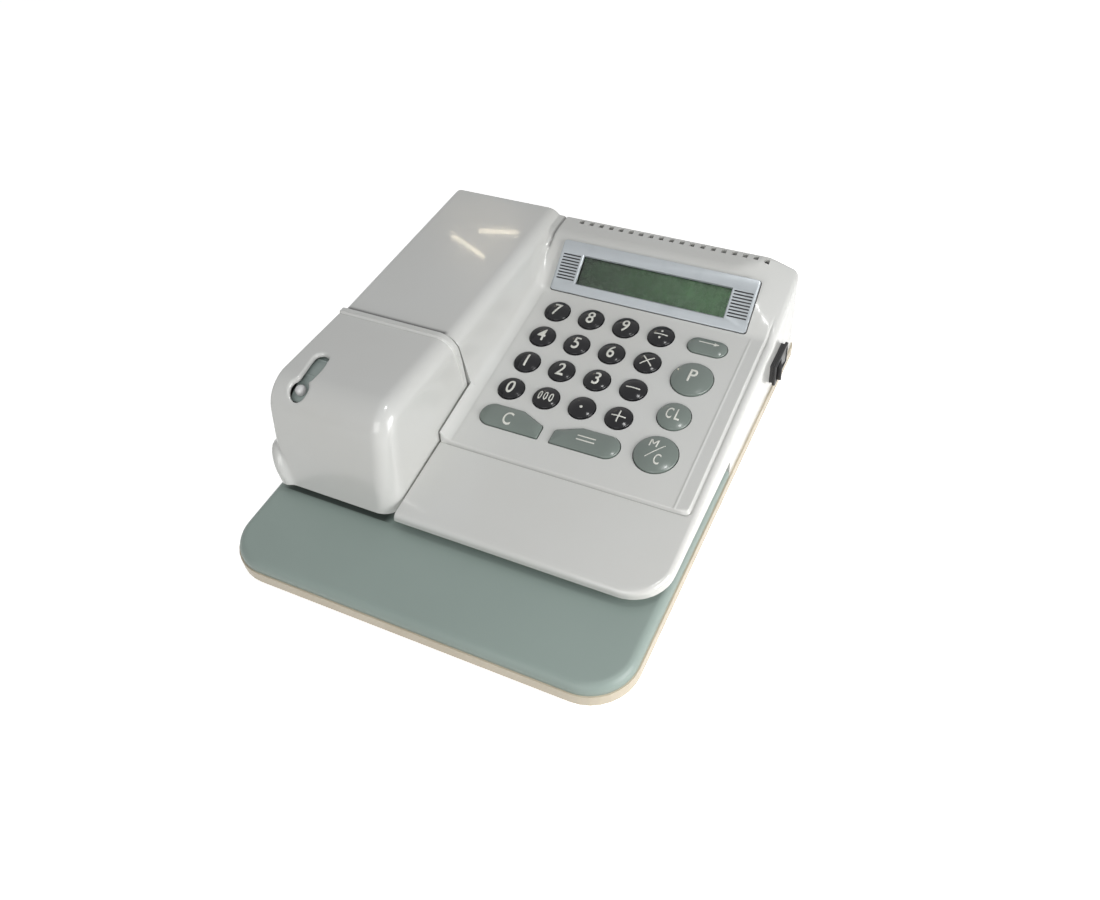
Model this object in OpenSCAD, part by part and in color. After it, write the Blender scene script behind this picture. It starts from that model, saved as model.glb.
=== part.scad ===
// Electronic check writer: a desk machine that prints an amount on a check.
// Millimetres. X runs to the right, Y to the back, Z up from the bench.
// Places are measured from the base's left and front edges, then centred.

/* [Base] */
// Width of the base tray
base_w = 200; // [192:1:210]
// Depth of the base tray
base_d = 238; // [236:1:250]
// Corner radius of the base at the front
base_front_r = 22; // [12:1:28]
// Corner radius of the base at the rear
base_rear_r = 5; // [4:1:12]
// Height of a rubber foot
foot_h = 2; // [1.5:0.5:4]
// Radius of a rubber foot
foot_r = 6.5; // [5:0.5:8]
// Height of the tray's side wall
tray_h = 6; // [6:0.5:8]
// Wall thickness of the mouldings
wall = 2; // [1.6:0.1:2.2]
// Height of the table's top above the tray's rim
table_rise = 5.2; // [5.2:0.1:7]
// Step from the tray's side in to the table's and the case's sides
table_inset = 0.8; // [0.6:0.1:1.2]
// Radius of the table's rounded top edge
table_edge_r = 4; // [2:0.5:4.5]

/* [Throat] */
// Height of the throat that takes the check
throat_gap = 4.7; // [4.6:0.1:5.4]
// Distance of the check stop from the base's front edge
stop_y = 134; // [130:1:136]
// Thickness of the plate that roofs the throat
roof_t = 2; // [1.6:0.2:2.2]

/* [Upper case] */
// Distance of the lip's front edge from the base's front edge
lip_y = 44.2; // [42:0.2:47]
// Height of the lip's front face
lip_h = 4.2; // [4:0.1:5.5]
// Plan radius of the lip's right corner
lip_r = 19; // [12:1:22]
// Distance of the crease behind the lip from the base's front edge
crease_y = 89.5; // [86:0.5:92]
// Height of the step at the crease
crease_step = 0.9; // [0.5:0.1:1.2]
// Height of the key panel's front end above the bench
panel_front_z = 28; // [27.5:0.5:30]
// Slope of the key panel
panel_tilt = 7.14; // [6:0.1:8.5]
// Slope of the display housing
display_tilt = 35.4; // [32:0.2:40]
// Height of the rear deck above the bench
deck_z = 59.2; // [56:0.2:62]
// Width of the facet on the rear deck's right end
facet_w = 15; // [10:0.5:18]
// Drop of that facet at the right wall
facet_drop = 5; // [3:0.5:7]

/* [Hump] */
// Distance of the hump's left wall from the base's left edge
hump_x = 3.2; // [3:0.1:4]
// Width of the hump at its foot
hump_w = 67.2; // [66:0.2:69]
// Height of the hump's top at the cover's seam
hump_z = 63.6; // [62:0.2:66]
// Fall of the hump's top from the seam to the rear
hump_fall = 1; // [0:0.2:2]
// Radius of the hump's right shoulder
shoulder_r = 8; // [5:0.5:10]
// Lean of the hump's right wall over its height
hump_lean = 2.6; // [2:0.2:3]

/* [Roller cover] */
// Distance of the cover's hinge line from the base's front edge
hinge_y = 121.6; // [119:0.2:124]
// Height of the cover's crown above the bench
cover_z = 67.3; // [66:0.2:69]
// Radius of the cover's front brow
brow_r = 16; // [10:1:18]
// Run of the cover's front slope, from its foot back to its brow
front_run = 16; // [12:0.5:18]
// Radius of the raised bead on the hinge line
bead_r = 2; // [1.8:0.1:2.2]
// Radius of the hinge pin
hinge_pin_r = 0.8; // [0.6:0.1:0.9]
// Width of the lever's channel in the cover
channel_w = 6.2; // [6:0.1:7]
// Radius of the finger well at the channel's front end
well_r = 4.8; // [4:0.2:5.5]

/* [Keys] */
// Distance between the key columns
pitch_x = 18.95; // [18:0.05:20]
// Distance between the key rows
pitch_y = 18.1; // [17.5:0.05:19]
// Diameter of a black key
key_d = 13.1; // [12.5:0.1:14]
// Height of a key's rim above the panel
key_rim_h = 1; // [0.8:0.1:2]
// Height of a key's dome above its rim
key_dome_h = 1.3; // [0.8:0.1:2]
// Travel of a key
key_travel = 1.5; // [1:0.1:1.8]
// Gap round a key in its hole
key_gap = 0.4; // [0.3:0.05:0.5]
// Diameter of the print key
print_key_d = 20.3; // [19:0.1:23]
// Diameter of the clear key
clear_key_d = 15.9; // [15:0.1:19]
// Diameter of the memory key
memory_key_d = 20.6; // [19:0.1:24]
// Width of the long keys
long_key_w = 12.7; // [10:0.1:13]

/* [Display] */
// Width of the display's silver bezel
bezel_w = 106; // [100:0.5:110]
// Length of the bezel up the slope
bezel_l = 27.5; // [26:0.1:28.5]
// Thickness of the bezel
bezel_t = 1.5; // [1.2:0.1:2]
// Width of the window
window_w = 80; // [70:0.5:84]
// Height of the window up the slope
window_l = 15; // [12:0.1:16]

/* [Print unit] */
// Radius of the type wheel over its type
type_r = 14; // [13:0.2:14.6]
// Height of the type above the wheel's drum
type_h = 0.8; // [0.5:0.1:1]
// Radius of the type wheel's shaft
type_shaft_r = 2; // [1.6:0.1:2.2]
// Radius of the ink roller
ink_r = 8; // [7:0.2:8.6]
// Thickness of the print frame's steel plates
plate_t = 1.2; // [1:0.1:1.6]
// Tooth module of the print train
print_module = 0.8; // [0.78:0.01:0.82]
// Lift of the hammer's anvil
hammer_lift = 4.7; // [4:0.1:4.7]

/* [Feed unit] */
// Distance of the feed line from the base's left edge
feed_x = 24; // [23:0.2:24.4]
// Radius of the rubber feed rollers
feed_r = 4.3; // [4:0.1:4.4]
// Radius of the pinch rollers
pinch_r = 4; // [3.6:0.1:4]
// Radius of the feed shaft
feed_shaft_r = 1.5; // [1.2:0.1:1.6]

/* [Fits] */
// Radial clearance of a shaft in its bearing
bearing_fit = 0.06; // [0.03:0.01:0.09]
// Gap between mouldings that seat on each other
seat_gap = 0.3; // [0.2:0.05:0.35]

/* [Hidden] */
$fn = 48;
arc_steps = 8;
far = 400;
tray_top = foot_h + tray_h;
floor_top = foot_h + wall;
table_top = tray_top + table_rise;
lip_z = table_top + throat_gap;
case_x1 = base_w - table_inset;
case_y1 = base_d - table_inset;
switch_reach = 5.3;
overall_w = case_x1 + switch_reach;

// key panel
panel_rise = tan(panel_tilt);
key_row_y = 182;
key_row_z = panel_front_z + (key_row_y - crease_y) * panel_rise;
key_col_x = 89.35;
side_col_x = key_col_x + 80.9;
long_row_v = -3 * pitch_y - 17.5;
panel_x0 = hump_x + hump_w;
keep_x0 = panel_x0 + 0.4;
display_y0 = 195.4;
display_z0 = panel_front_z + (display_y0 - crease_y) * panel_rise;
display_y1 = display_y0 + (deck_z - display_z0) / tan(display_tilt);
bezel_x0 = 78.8;
bezel_start = 0.4;

// Each key: name, column offset, row offset, diameter or width, length, shape
ROUND = 0;
PILL = 1;
LONG_RIGHT = 2;
LONG_LEFT = 3;
grid_names = [["7", "8", "9", "divide"], ["4", "5", "6", "times"],
    ["1", "2", "3", "minus"], ["0", "000", "point", "plus"]];
GRID = [for (row = [0:3]) for (col = [0:3])
    [str("key_", grid_names[row][col]), col * pitch_x, -row * pitch_y, key_d, key_d, ROUND]];
OTHERS = [
    ["key_shift", side_col_x - key_col_x, 0, long_key_w - 2.9, 19.9, PILL],
    ["key_print", side_col_x - key_col_x, -21.4, print_key_d, print_key_d, ROUND],
    ["key_clear_line", side_col_x - key_col_x, -45.2, clear_key_d, clear_key_d, ROUND],
    ["key_memory", side_col_x - key_col_x, -68.3, memory_key_d, memory_key_d, ROUND],
    ["key_c", 8.7, long_row_v, long_key_w, 32.6, LONG_RIGHT],
    ["key_equals", 47.85, long_row_v, long_key_w, 33.1, LONG_LEFT]];
KEYS = concat(GRID, OTHERS);
key_flange = 1;
key_flange_t = 1.2;
key_bottom = -wall - seat_gap - key_flange_t;
mat_top = key_bottom - key_travel - seat_gap;
mat_t = 1;
board_t = 1.6;
board_bottom = mat_top - mat_t - board_t;

// roller cover
hinge_z = hump_z - 0.4;
cover_gap = 0.4;
cover_x1 = panel_x0 - 0.4;
cover_y1 = hinge_y - cover_gap;
cover_shoulder = shoulder_r + 1;
cover_t = wall;
front_y = lip_y + 1;
front_corner_l = 6;
front_corner_r = 10;
lug_l = 2.8;
lug_gap = 0.2;
bead_x1 = panel_x0 - 12;
well_x = 16.6;
well_y = 64.5;
channel_end_y = 84.2;

// release lever: its knob swings on an arc under the cover's channel
lever_y = 79.7;
lever_z = 26;
lever_r = 39;
lever_rest = 110.6;
lever_swing = 27;
lever_t = 3;
lever_shaft_r = 2;
knob_r = 2.7;
crank_r = 10;
crank_pin_r = 1;

// print unit, on shafts along X
frame_x0 = hump_x + 6;
frame_y0 = 66;
frame_y1 = 136;
frame_z0 = lip_z + 0.3 + roof_t;
frame_h = 34;
type_x = 33;
type_w = 14;
type_y = 95;
type_z = lip_z + 0.3 + type_r;
gear_x = 50;
gear_w = 3;
frame_x1 = gear_x + gear_w + 5.4;
type_teeth = 28;
idler_teeth = 18;
pinion_teeth = 12;
mesh_gap = 0.1;
idler_dir = 14;
idler_d = (type_teeth + idler_teeth) * print_module / 2 + mesh_gap;
idler_y = type_y + idler_d * cos(idler_dir);
idler_z = type_z + idler_d * sin(idler_dir);
pinion_dir = 58;
pinion_d = (pinion_teeth + idler_teeth) * print_module / 2 + mesh_gap;
pinion_y = idler_y + pinion_d * cos(pinion_dir);
pinion_z = idler_z + pinion_d * sin(pinion_dir);
motor_r = 8;
motor_l = 22;
motor_shaft_r = 1;
ink_dir = 140;
ink_d = type_r + ink_r + seat_gap;
ink_y = type_y + ink_d * cos(ink_dir);
ink_z = type_z + ink_d * sin(ink_dir);
ink_pin_r = 1.5;

// feed unit, on shafts along Y
feed_z = table_top + 0.1 - feed_r;
feed_rows = [60, 104];
feed_roller_l = 10;
feed_y0 = 52;
feed_y1 = 145.4;
feed_gear_y = 140;
feed_gear_w = 5;
feed_module = 0.5;
feed_teeth = 14;
feed_pinion_teeth = 12;
feed_motor_z = feed_z + (feed_teeth + feed_pinion_teeth) * feed_module / 2 + mesh_gap;
feed_motor_r = 7.5;
feed_motor_y = 148;
feed_motor_l = 15;
pinch_z = lip_z + 0.3 + pinch_r;
pinch_drop = 2 * crank_r * sin(lever_swing / 2);
pinch_pin_r = 1;
post_r = 1.5;
post_rows = [76, 99.2];

// hammer, under the table
hammer_x = type_x + type_w / 2;
hammer_w = 4;
hammer_pivot_y = 150;
hammer_pivot_z = floor_top + 2.6;
hammer_pin_r = 1.2;
anvil_w = 12;
anvil_l = 12;
solenoid_y = hammer_pivot_y + 20;
tail_z = 12;
tail_t = 1.6;
plunger_r = 2.5;
solenoid_z = 19;
solenoid_h = 18;

// battery bay, power inlet and switch
cell_r = 7.1;
cell_l = 50;
bay_x = 86;
bay_y = 152;
bay_w = 2 * cell_l + 6;
bay_l = 4 * cell_r + 2.4;
bay_h = 2 * cell_r + 0.4;
door_rim = 3;
jack_x = 150;
jack_z = 22;
jack_r = 2.8;
switch_y = 203;
switch_z = 21.5;
switch_l = 21;
switch_h = 13;
pad_t = 1.6;
rocker_tilt = 9;

base_screw_r = 1.5;
// Case screws: place, and the height that the boss in the case reaches
screw_in = 10;
stop_screw_y = stop_y + 8;
screw_spots = [[screw_in, stop_y + 16, hump_z - 1.2], [screw_in, base_d - 12, hump_z - hump_fall - 1],
    [base_w - 88, base_d - screw_in, deck_z - 1], [base_w - screw_in, base_d - 12, deck_z - facet_drop - 1.5],
    [base_w - 7.5, stop_screw_y, panel_front_z + (stop_screw_y - crease_y) * panel_rise - 1]];
screw_sink = 1;
screw_head_h = 1.4;
feed_bearings = [feed_y0 + 1, 88, 122, stop_y + wall + 0.5];
// Circuit board and key mat: low corner on the key panel, and size
board_u0 = -13;
board_v0 = -85.5;
board_w = 111;
board_l = 99;
board_posts_u = [board_u0 + 2.5, board_u0 + board_w - 3];
board_posts_v = [board_v0 + 3, board_v0 + board_l - 3];
board_parts = [[20, -14, 12, 12], [52, -16, 8, 6], [70, -30, 5, 9], [34, -38, 6, 6]];
mat_u0 = -8;
mat_v0 = -79.5;
mat_w = 101;
mat_l = 87.5;

// ---- helpers ----
function unit(v) = v / norm(v);
// Arc that rounds corner p between its neighbours a and b
function corner(p, a, b, r) =
    let (u = unit(a - p), v = unit(b - p), half = acos(u * v) / 2,
         c = p + unit(u + v) * r / sin(half), s = p + u * r / tan(half),
         e = p + v * r / tan(half), a0 = atan2(s.y - c.y, s.x - c.x),
         turn = (atan2(e.y - c.y, e.x - c.x) - a0 + 540) % 360 - 180)
    r == 0 ? [p] : [for (i = [0:arc_steps]) c + r * [cos(a0 + turn * i / arc_steps),
                                                     sin(a0 + turn * i / arc_steps)]];
// Outline with each corner rounded by its own radius
function rounded(pts, radii) =
    let (n = len(pts)) [for (i = [0:n - 1])
        each corner(pts[i], pts[(i + n - 1) % n], pts[(i + 1) % n], radii[i])];
// Outline, counter-clockwise, drawn in by d
function inset(pts, d) =
    let (n = len(pts)) [for (i = [0:n - 1])
        let (a = unit(pts[i] - pts[(i + n - 1) % n]), b = unit(pts[(i + 1) % n] - pts[i]),
             na = [-a.y, a.x], nb = [-b.y, b.x]) pts[i] + (na + nb) * d / (1 + na * nb)];
function box_pts(x0, y0, x1, y1) = [[x0, y0], [x1, y0], [x1, y1], [x0, y1]];

module place() { translate([-overall_w / 2, -base_d / 2, 0]) children(); }
// Solid of a Y-Z outline between two X planes
module along_x(x0, x1, pts) {
    translate([x0, 0, 0]) rotate([90, 0, 90]) linear_extrude(x1 - x0) polygon(pts);
}
// Solid of an X-Z outline between two Y planes
module along_y(y0, y1, pts) {
    translate([0, y1, 0]) rotate([90, 0, 0]) linear_extrude(y1 - y0) polygon(pts);
}
module slab(z0, z1, pts) { translate([0, 0, z0]) linear_extrude(z1 - z0) polygon(pts); }
module block(a, b) { translate(a) cube(b - a); }
module rod_x(x0, x1, y, z, r) { translate([x0, y, z]) rotate([0, 90, 0]) cylinder(r = r, h = x1 - x0); }
module rod_y(y0, y1, x, z, r) { translate([x, y0, z]) rotate([-90, 0, 0]) cylinder(r = r, h = y1 - y0); }
// Moves a shape drawn at the key panel's origin onto the panel
module on_panel() {
    translate([key_col_x, key_row_y, key_row_z]) rotate([panel_tilt, 0, 0]) children();
}
// Moves a shape drawn at the display slope's lower left corner onto the slope
module on_display() {
    translate([bezel_x0, display_y0, display_z0]) rotate([display_tilt, 0, 0]) children();
}
// Spur gear along Z with one tooth at a given turn
module gear(teeth, size, w, bore, turn) {
    pitch = teeth * size / 2;
    rotate([0, 0, turn]) difference() {
        union() {
            cylinder(r = pitch - size * 1.1, h = w);
            for (i = [0:teeth - 1]) rotate([0, 0, i * 360 / teeth]) linear_extrude(w)
                polygon([[pitch - size * 1.6, -size * 0.85], [pitch + size * 0.8, -size * 0.28],
                         [pitch + size * 0.8, size * 0.28], [pitch - size * 1.6, size * 0.85]]);
        }
        if (bore > 0) translate([0, 0, -1]) cylinder(r = bore, h = w + 2);
    }
}
module on_x(x, y, z) { translate([x, y, z]) rotate([90, 0, 90]) children(); }
module on_y(x, y, z) { translate([x, y, z]) rotate([-90, 0, 0]) children(); }

// ---- base ----
function base_plan(d) = rounded(box_pts(d, d, base_w - d, base_d - d),
    [base_front_r - d, base_front_r - d, base_rear_r - d, base_rear_r - d]);

module base_tray() {
    color("#e6dcc6") difference() {
        union() {
            difference() {
                slab(foot_h, tray_top, base_plan(0));
                slab(floor_top, tray_top + 1, base_plan(wall));
            }
            // ledge that carries the case behind the check stop
            intersection() {
                slab(floor_top - 0.5, tray_top, base_plan(wall / 2));
                union() {
                    block([0, stop_y + wall, 0], [hump_x + 4, base_d, far]);
                    block([0, base_d - 5, 0], [base_w, base_d, far]);
                }
            }
            for (s = screw_spots) translate([s.x, s.y, foot_h]) cylinder(r = 4, h = tray_h - 0.2);
            // walls of the battery bay
            block([bay_x - wall, bay_y - wall, foot_h],
                  [bay_x + bay_w + wall, bay_y + bay_l + wall, floor_top + bay_h + wall]);
            // bearings of the feed shaft
            for (y = feed_bearings)
                block([feed_x - 4, y, floor_top - 0.5], [feed_x + 4, y + 2.5, table_top - wall - 0.1]);
            // cradles of the feed motor
            for (y = [feed_motor_y + 2, feed_motor_y + feed_motor_l - 4])
                block([feed_x - 6, y, floor_top - 0.5], [feed_x + 6, y + 2, feed_motor_z]);
            // ears of the hammer's pivot
            for (x = [hammer_x - hammer_w / 2 - 2.8, hammer_x + hammer_w / 2 + 0.3])
                block([x, hammer_pivot_y - 3, floor_top - 0.5],
                      [x + 2.5, hammer_pivot_y + 3, hammer_pivot_z + 3]);
        }
        for (s = screw_spots) translate([s.x, s.y, 0]) {
            cylinder(r = base_screw_r + 0.2, h = tray_top + 1);
            cylinder(r = base_screw_r * 2 + 0.2, h = foot_h + screw_sink + screw_head_h);
        }
        // battery bay, open below, with a rim that seats the door
        block([bay_x, bay_y, 0], [bay_x + bay_w, bay_y + bay_l, floor_top + bay_h]);
        block([bay_x - door_rim, bay_y - door_rim, 0],
              [bay_x + bay_w + door_rim, bay_y + bay_l + door_rim, foot_h + wall / 2]);
        rod_y(feed_y0, feed_y1, feed_x, feed_z, feed_shaft_r + bearing_fit);
        rod_y(feed_motor_y, feed_motor_y + feed_motor_l, feed_x, feed_motor_z, feed_motor_r + 0.1);
        rod_x(hammer_x - 10, hammer_x + 10, hammer_pivot_y, hammer_pivot_z, hammer_pin_r + bearing_fit);
    }
}

// Section of the table's edge region: from a to b, its top rounded at a and, if both, at b
function table_section(a, b, both) = rounded([[a, tray_top], [b, tray_top], [b, table_top], [a, table_top]],
    [0, 0, both ? table_edge_r : 0, table_edge_r]);
module table_body() {
    r = base_front_r - table_inset;
    x0 = table_inset;
    x1 = base_w - table_inset;
    y1 = stop_y - seat_gap;
    for (x = [x0 + r, x1 - r]) translate([x, x0 + r, 0])
        rotate_extrude() mirror([1, 0]) polygon(table_section(-r, 0, false));
    along_x(x0 + r, x1 - r, table_section(x0, y1, false));
    along_y(x0 + r, y1, table_section(x0, x1, true));
}

module table_plate() {
    color("#93a29b") difference() {
        table_body();
        block([wall + 1, base_front_r, 0], [base_w - wall - 1, stop_y + 1, table_top - wall]);
        block([base_front_r, wall + 1.5, 0], [base_w - base_front_r, base_front_r + 1, table_top - wall]);
        for (y = feed_rows)
            block([feed_x - feed_r - 0.6, y - 0.6, 0], [feed_x + feed_r + 0.6, y + feed_roller_l + 0.6, far]);
        block([hammer_x - anvil_w / 2 - 0.6, type_y - anvil_l / 2 - 1, 0],
              [hammer_x + anvil_w / 2 + 0.6, type_y + anvil_l / 2 + 1, far]);
    }
}

module rubber_feet() {
    color("#2b2b2b") for (x = [22, base_w - 22]) for (y = [24, base_d - 22])
        translate([x, y, 0]) rotate_extrude()
            polygon([[0, 0], [foot_r - 0.8, 0], [foot_r, 0.8], [foot_r, foot_h], [0, foot_h]]);
}

module case_screws() {
    color("#b9bcc0") for (s = screw_spots) translate([s.x, s.y, foot_h + screw_sink]) difference() {
        union() {
            cylinder(r = base_screw_r * 2 - 0.2, h = screw_head_h);
            cylinder(r = base_screw_r, h = 12);
        }
        for (a = [0, 90]) rotate([0, 0, a]) translate([-1.4, -0.3, -1]) cube([2.8, 0.6, 1.6]);
    }
}

module battery_door() {
    color("#e6dcc6") difference() {
        union() {
            block([bay_x - door_rim + 0.3, bay_y - door_rim + 0.3, foot_h],
                  [bay_x + bay_w + door_rim - 0.3, bay_y + bay_l + door_rim - 0.3, foot_h + wall / 2 - 0.1]);
            block([bay_x + 0.4, bay_y + 0.4, foot_h + 0.2],
                  [bay_x + bay_w - 0.4, bay_y + bay_l - 0.4, floor_top - 0.2]);
        }
        // finger dip of the snap catch
        translate([bay_x + bay_w / 2, bay_y + bay_l - 7, foot_h - 0.1]) cylinder(r1 = 6, r2 = 4.6, h = 0.8);
    }
}

// Places of the four cells: two side by side, twice along X
cell_spots = [for (i = [0, 1]) for (j = [0, 1])
    [bay_x + 2 + i * (cell_l + 3), bay_y + 1.2 + cell_r + j * 2 * cell_r + (j - 0.5) * 0.4]];

module battery_cells() {
    color("#3d6a4a") for (c = cell_spots) {
        rod_x(c.x, c.x + cell_l - 1.5, c.y, floor_top + 0.1 + cell_r, cell_r);
        rod_x(c.x + cell_l - 2, c.x + cell_l - 0.3, c.y, floor_top + 0.1 + cell_r, 2.6);
    }
}

module battery_contacts() {
    color("#c9ccd0") for (c = cell_spots)
        for (x = [c.x - 0.5, c.x + cell_l - 0.1])
            block([x, c.y - 5, floor_top + 3], [x + 0.4, c.y + 5, floor_top + 10]);
}

module power_jack() {
    color("#1d1d1f") difference() {
        union() {
            block([jack_x - 4.5, case_y1 - wall - 12, jack_z - 5],
                  [jack_x + 4.5, case_y1 - wall - 0.2, jack_z + 5]);
            rod_y(case_y1 - wall - 1, case_y1 + 0.5, jack_x, jack_z, 3.7);
        }
        rod_y(case_y1 - wall - 9, case_y1 + 2, jack_x, jack_z, jack_r);
    }
    color("#c9ccd0") rod_y(case_y1 - wall - 9.5, case_y1 - wall - 0.5, jack_x, jack_z, 1);
}

// ---- upper case ----
// Side outline of the panel part; its open bottom may reach lower by drop
function panel_outline(drop) = [[lip_y, lip_z - drop], [stop_y, lip_z - drop],
    [stop_y, tray_top - drop], [case_y1, tray_top - drop], [case_y1, deck_z],
    [display_y1, deck_z], [display_y0, display_z0], [crease_y, panel_front_z],
    [crease_y, panel_front_z - crease_step], [lip_y, lip_z + lip_h]];
function hump_outline(drop, y0) = [[y0, lip_z - drop], [stop_y, lip_z - drop],
    [stop_y, tray_top - drop], [case_y1, tray_top - drop],
    [case_y1, hump_z - hump_fall], [y0, hump_z]];
// Section of the hump across X, from below the tray to its top
function hump_section(d) = rounded([[hump_x + d, -1], [panel_x0 - d, -1],
    [panel_x0 - hump_lean - d, hump_z - d], [hump_x + d, hump_z - d]], [0, 0, shoulder_r - d, max(0, 1.5 - d)]);

module panel_shell(d) {
    x0 = keep_x0 + d;
    x1 = case_x1 - d;
    intersection() {
        along_x(x0, x1, d == 0 ? rounded(panel_outline(0), [0.8, 0, 0, 0, 3, 2, 5, 0.3, 0, 2.6])
                               : inset(panel_outline(d + 1), d));
        slab(-1, far, rounded(box_pts(x0, lip_y + d, x1, case_y1 - d), [1.5, lip_r - d, base_rear_r - d, 0]));
    }
}
module hump_shell(d) {
    intersection() {
        along_x(hump_x, panel_x0 + 2, d == 0 ? rounded(hump_outline(0, hinge_y), [0, 0, 0, 0, 3, 0])
                                             : inset(hump_outline(d + 1, hinge_y - 2 * d), d));
        along_y(hinge_y - 5, case_y1 + 1, hump_section(d));
        slab(-1, far, rounded(box_pts(hump_x + d, hinge_y - 5, far, case_y1 - d), [0, 0, 0, 3 - d / 2]));
    }
}
// Plane that cuts the facet on the deck's right end
module facet_cut(d) {
    a = [case_x1 - 1, display_y0, display_z0 + 1];
    b = [case_x1 - facet_w, case_y1, deck_z];
    c = [case_x1, case_y1, deck_z - facet_drop];
    n = unit(cross(c - a, b - a));
    intersection() {
        translate(a - n * d) rotate([0, acos(n.z), atan2(n.y, n.x)]) translate([-far, -far, 0])
            cube([2 * far, 2 * far, far]);
        block([case_x1 - 60, display_y0 - 2, 0], [far, far, far]);
    }
}
module key_hole(k) {
    translate([k[1], k[2], 0]) {
        if (k[5] == ROUND) translate([0, 0, -wall - 3]) cylinder(r = k[3] / 2 + key_gap, h = wall + 9);
        else translate([0, 0, -wall - 3]) linear_extrude(wall + 9) long_outline(k, key_gap);
    }
}
// Outline of a long key: round at one end, its far corner cut at the other, or round at both
module long_outline(k, grow) {
    w = k[3] / 2 + grow;
    l = k[4] / 2 + grow;
    side = k[5] == LONG_LEFT ? -1 : 1;
    if (k[5] == PILL) polygon(rounded(box_pts(-l, -w, l, w), [w - 0.01, w - 0.01, w - 0.01, w - 0.01]));
    else mirror([side < 0 ? 1 : 0, 0]) polygon(rounded([[-l, -w], [l, -w], [l, 7.4 - k[3] / 2 + 0.67 * grow],
        [k[4] / 2 - 12.5 + 0.2 * grow, w], [-l, w]], [w - 0.01, 0.8, 1.5, 3, w - 0.01]));
}
module vents() {
    count = 19;
    for (i = [0:count - 1])
        translate([81.2 + i * 101.5 / (count - 1) - 1.2, case_y1 - 3.6, deck_z - wall - 1])
            cube([2.4, 8, wall + 3]);
}

module upper_case() {
    color("#eceeed") difference() {
        union() {
            difference() {
                union() {
                    difference() {
                        panel_shell(0);
                        facet_cut(0);
                    }
                    hump_shell(0);
                    // joins the panel's left wall and the hump's foot
                    intersection() {
                        along_x(panel_x0 - 6, keep_x0 + 3, panel_outline(0));
                        block([0, hinge_y, 0], [far, far, far]);
                    }
                }
                difference() {
                    panel_shell(wall);
                    facet_cut(wall);
                }
                hump_shell(wall);
                intersection() {
                    along_x(panel_x0 - 8, keep_x0 + 4, inset(panel_outline(wall + 1), wall));
                    block([0, hinge_y + wall, 0], [far, far, far]);
                }
            }
            // lugs that hold the hinge pin
            for (x = [hump_x, bead_x1 + lug_gap])
                rod_x(x, x + lug_l, hinge_y, hinge_z, bead_r);
            // bosses that take the case screws
            for (s = screw_spots) translate([s.x, s.y, tray_top - 0.1]) difference() {
                cylinder(r = 3.6, h = s.z - tray_top + 0.1);
                translate([0, 0, -1]) cylinder(r = base_screw_r, h = 10);
            }
            // posts that carry the circuit board
            on_panel() for (u = board_posts_u) for (v = board_posts_v)
                translate([u, v, board_bottom + board_t]) cylinder(r = 2, h = -board_bottom - board_t - 0.5);
            // pad behind the switch
            block([case_x1 - 1, switch_y - switch_l / 2 - 4.5, switch_z - switch_h / 2 - 2.5],
                  [case_x1 + pad_t, switch_y + switch_l / 2 + 4.5, switch_z + switch_h / 2 + 2.5]);
            // posts that the throat's roof hangs from
            for (x = [keep_x0 + 12, case_x1 - 14]) {
                translate([x, 60, frame_z0]) cylinder(r = 3, h = 2.6);
                translate([x, 93, frame_z0]) cylinder(r = 3, h = 7);
            }
        }
        // groove that the cover's bead turns in
        rod_x(hump_x + lug_l + lug_gap - 0.2, bead_x1 + 0.2, hinge_y, hinge_z, bead_r + 0.5);
        rod_x(hump_x - 1, bead_x1 + lug_l + 1, hinge_y, hinge_z, hinge_pin_r + 0.01);
        block([hump_x - 1, hinge_y - 3, hinge_z + bead_r + 0.2], [panel_x0, hinge_y + 1, far]);
        on_panel() for (k = KEYS) key_hole(k);
        // opening for the display's module
        on_display()
            translate([(bezel_w - window_w) / 2 - 2, bezel_start + (bezel_l - window_l) / 2 - 2, -wall - 1])
            cube([window_w + 4, window_l + 4, wall + 3]);
        vents();
        rod_y(case_y1 - wall - 1, case_y1 + 1, jack_x, jack_z, 3.9);
        translate([case_x1 - 8, switch_y, switch_z]) rotate([0, 90, 0]) linear_extrude(17)
            square([switch_h - 2 * switch_inset + 0.6, switch_l - 2 * switch_inset + 0.6], center = true);
        // ways through the check stop for the feed shaft
        block([feed_x - 3, stop_y - 1, 0], [feed_x + 3, stop_y + wall + 1, feed_z + 3]);
    }
}

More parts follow.
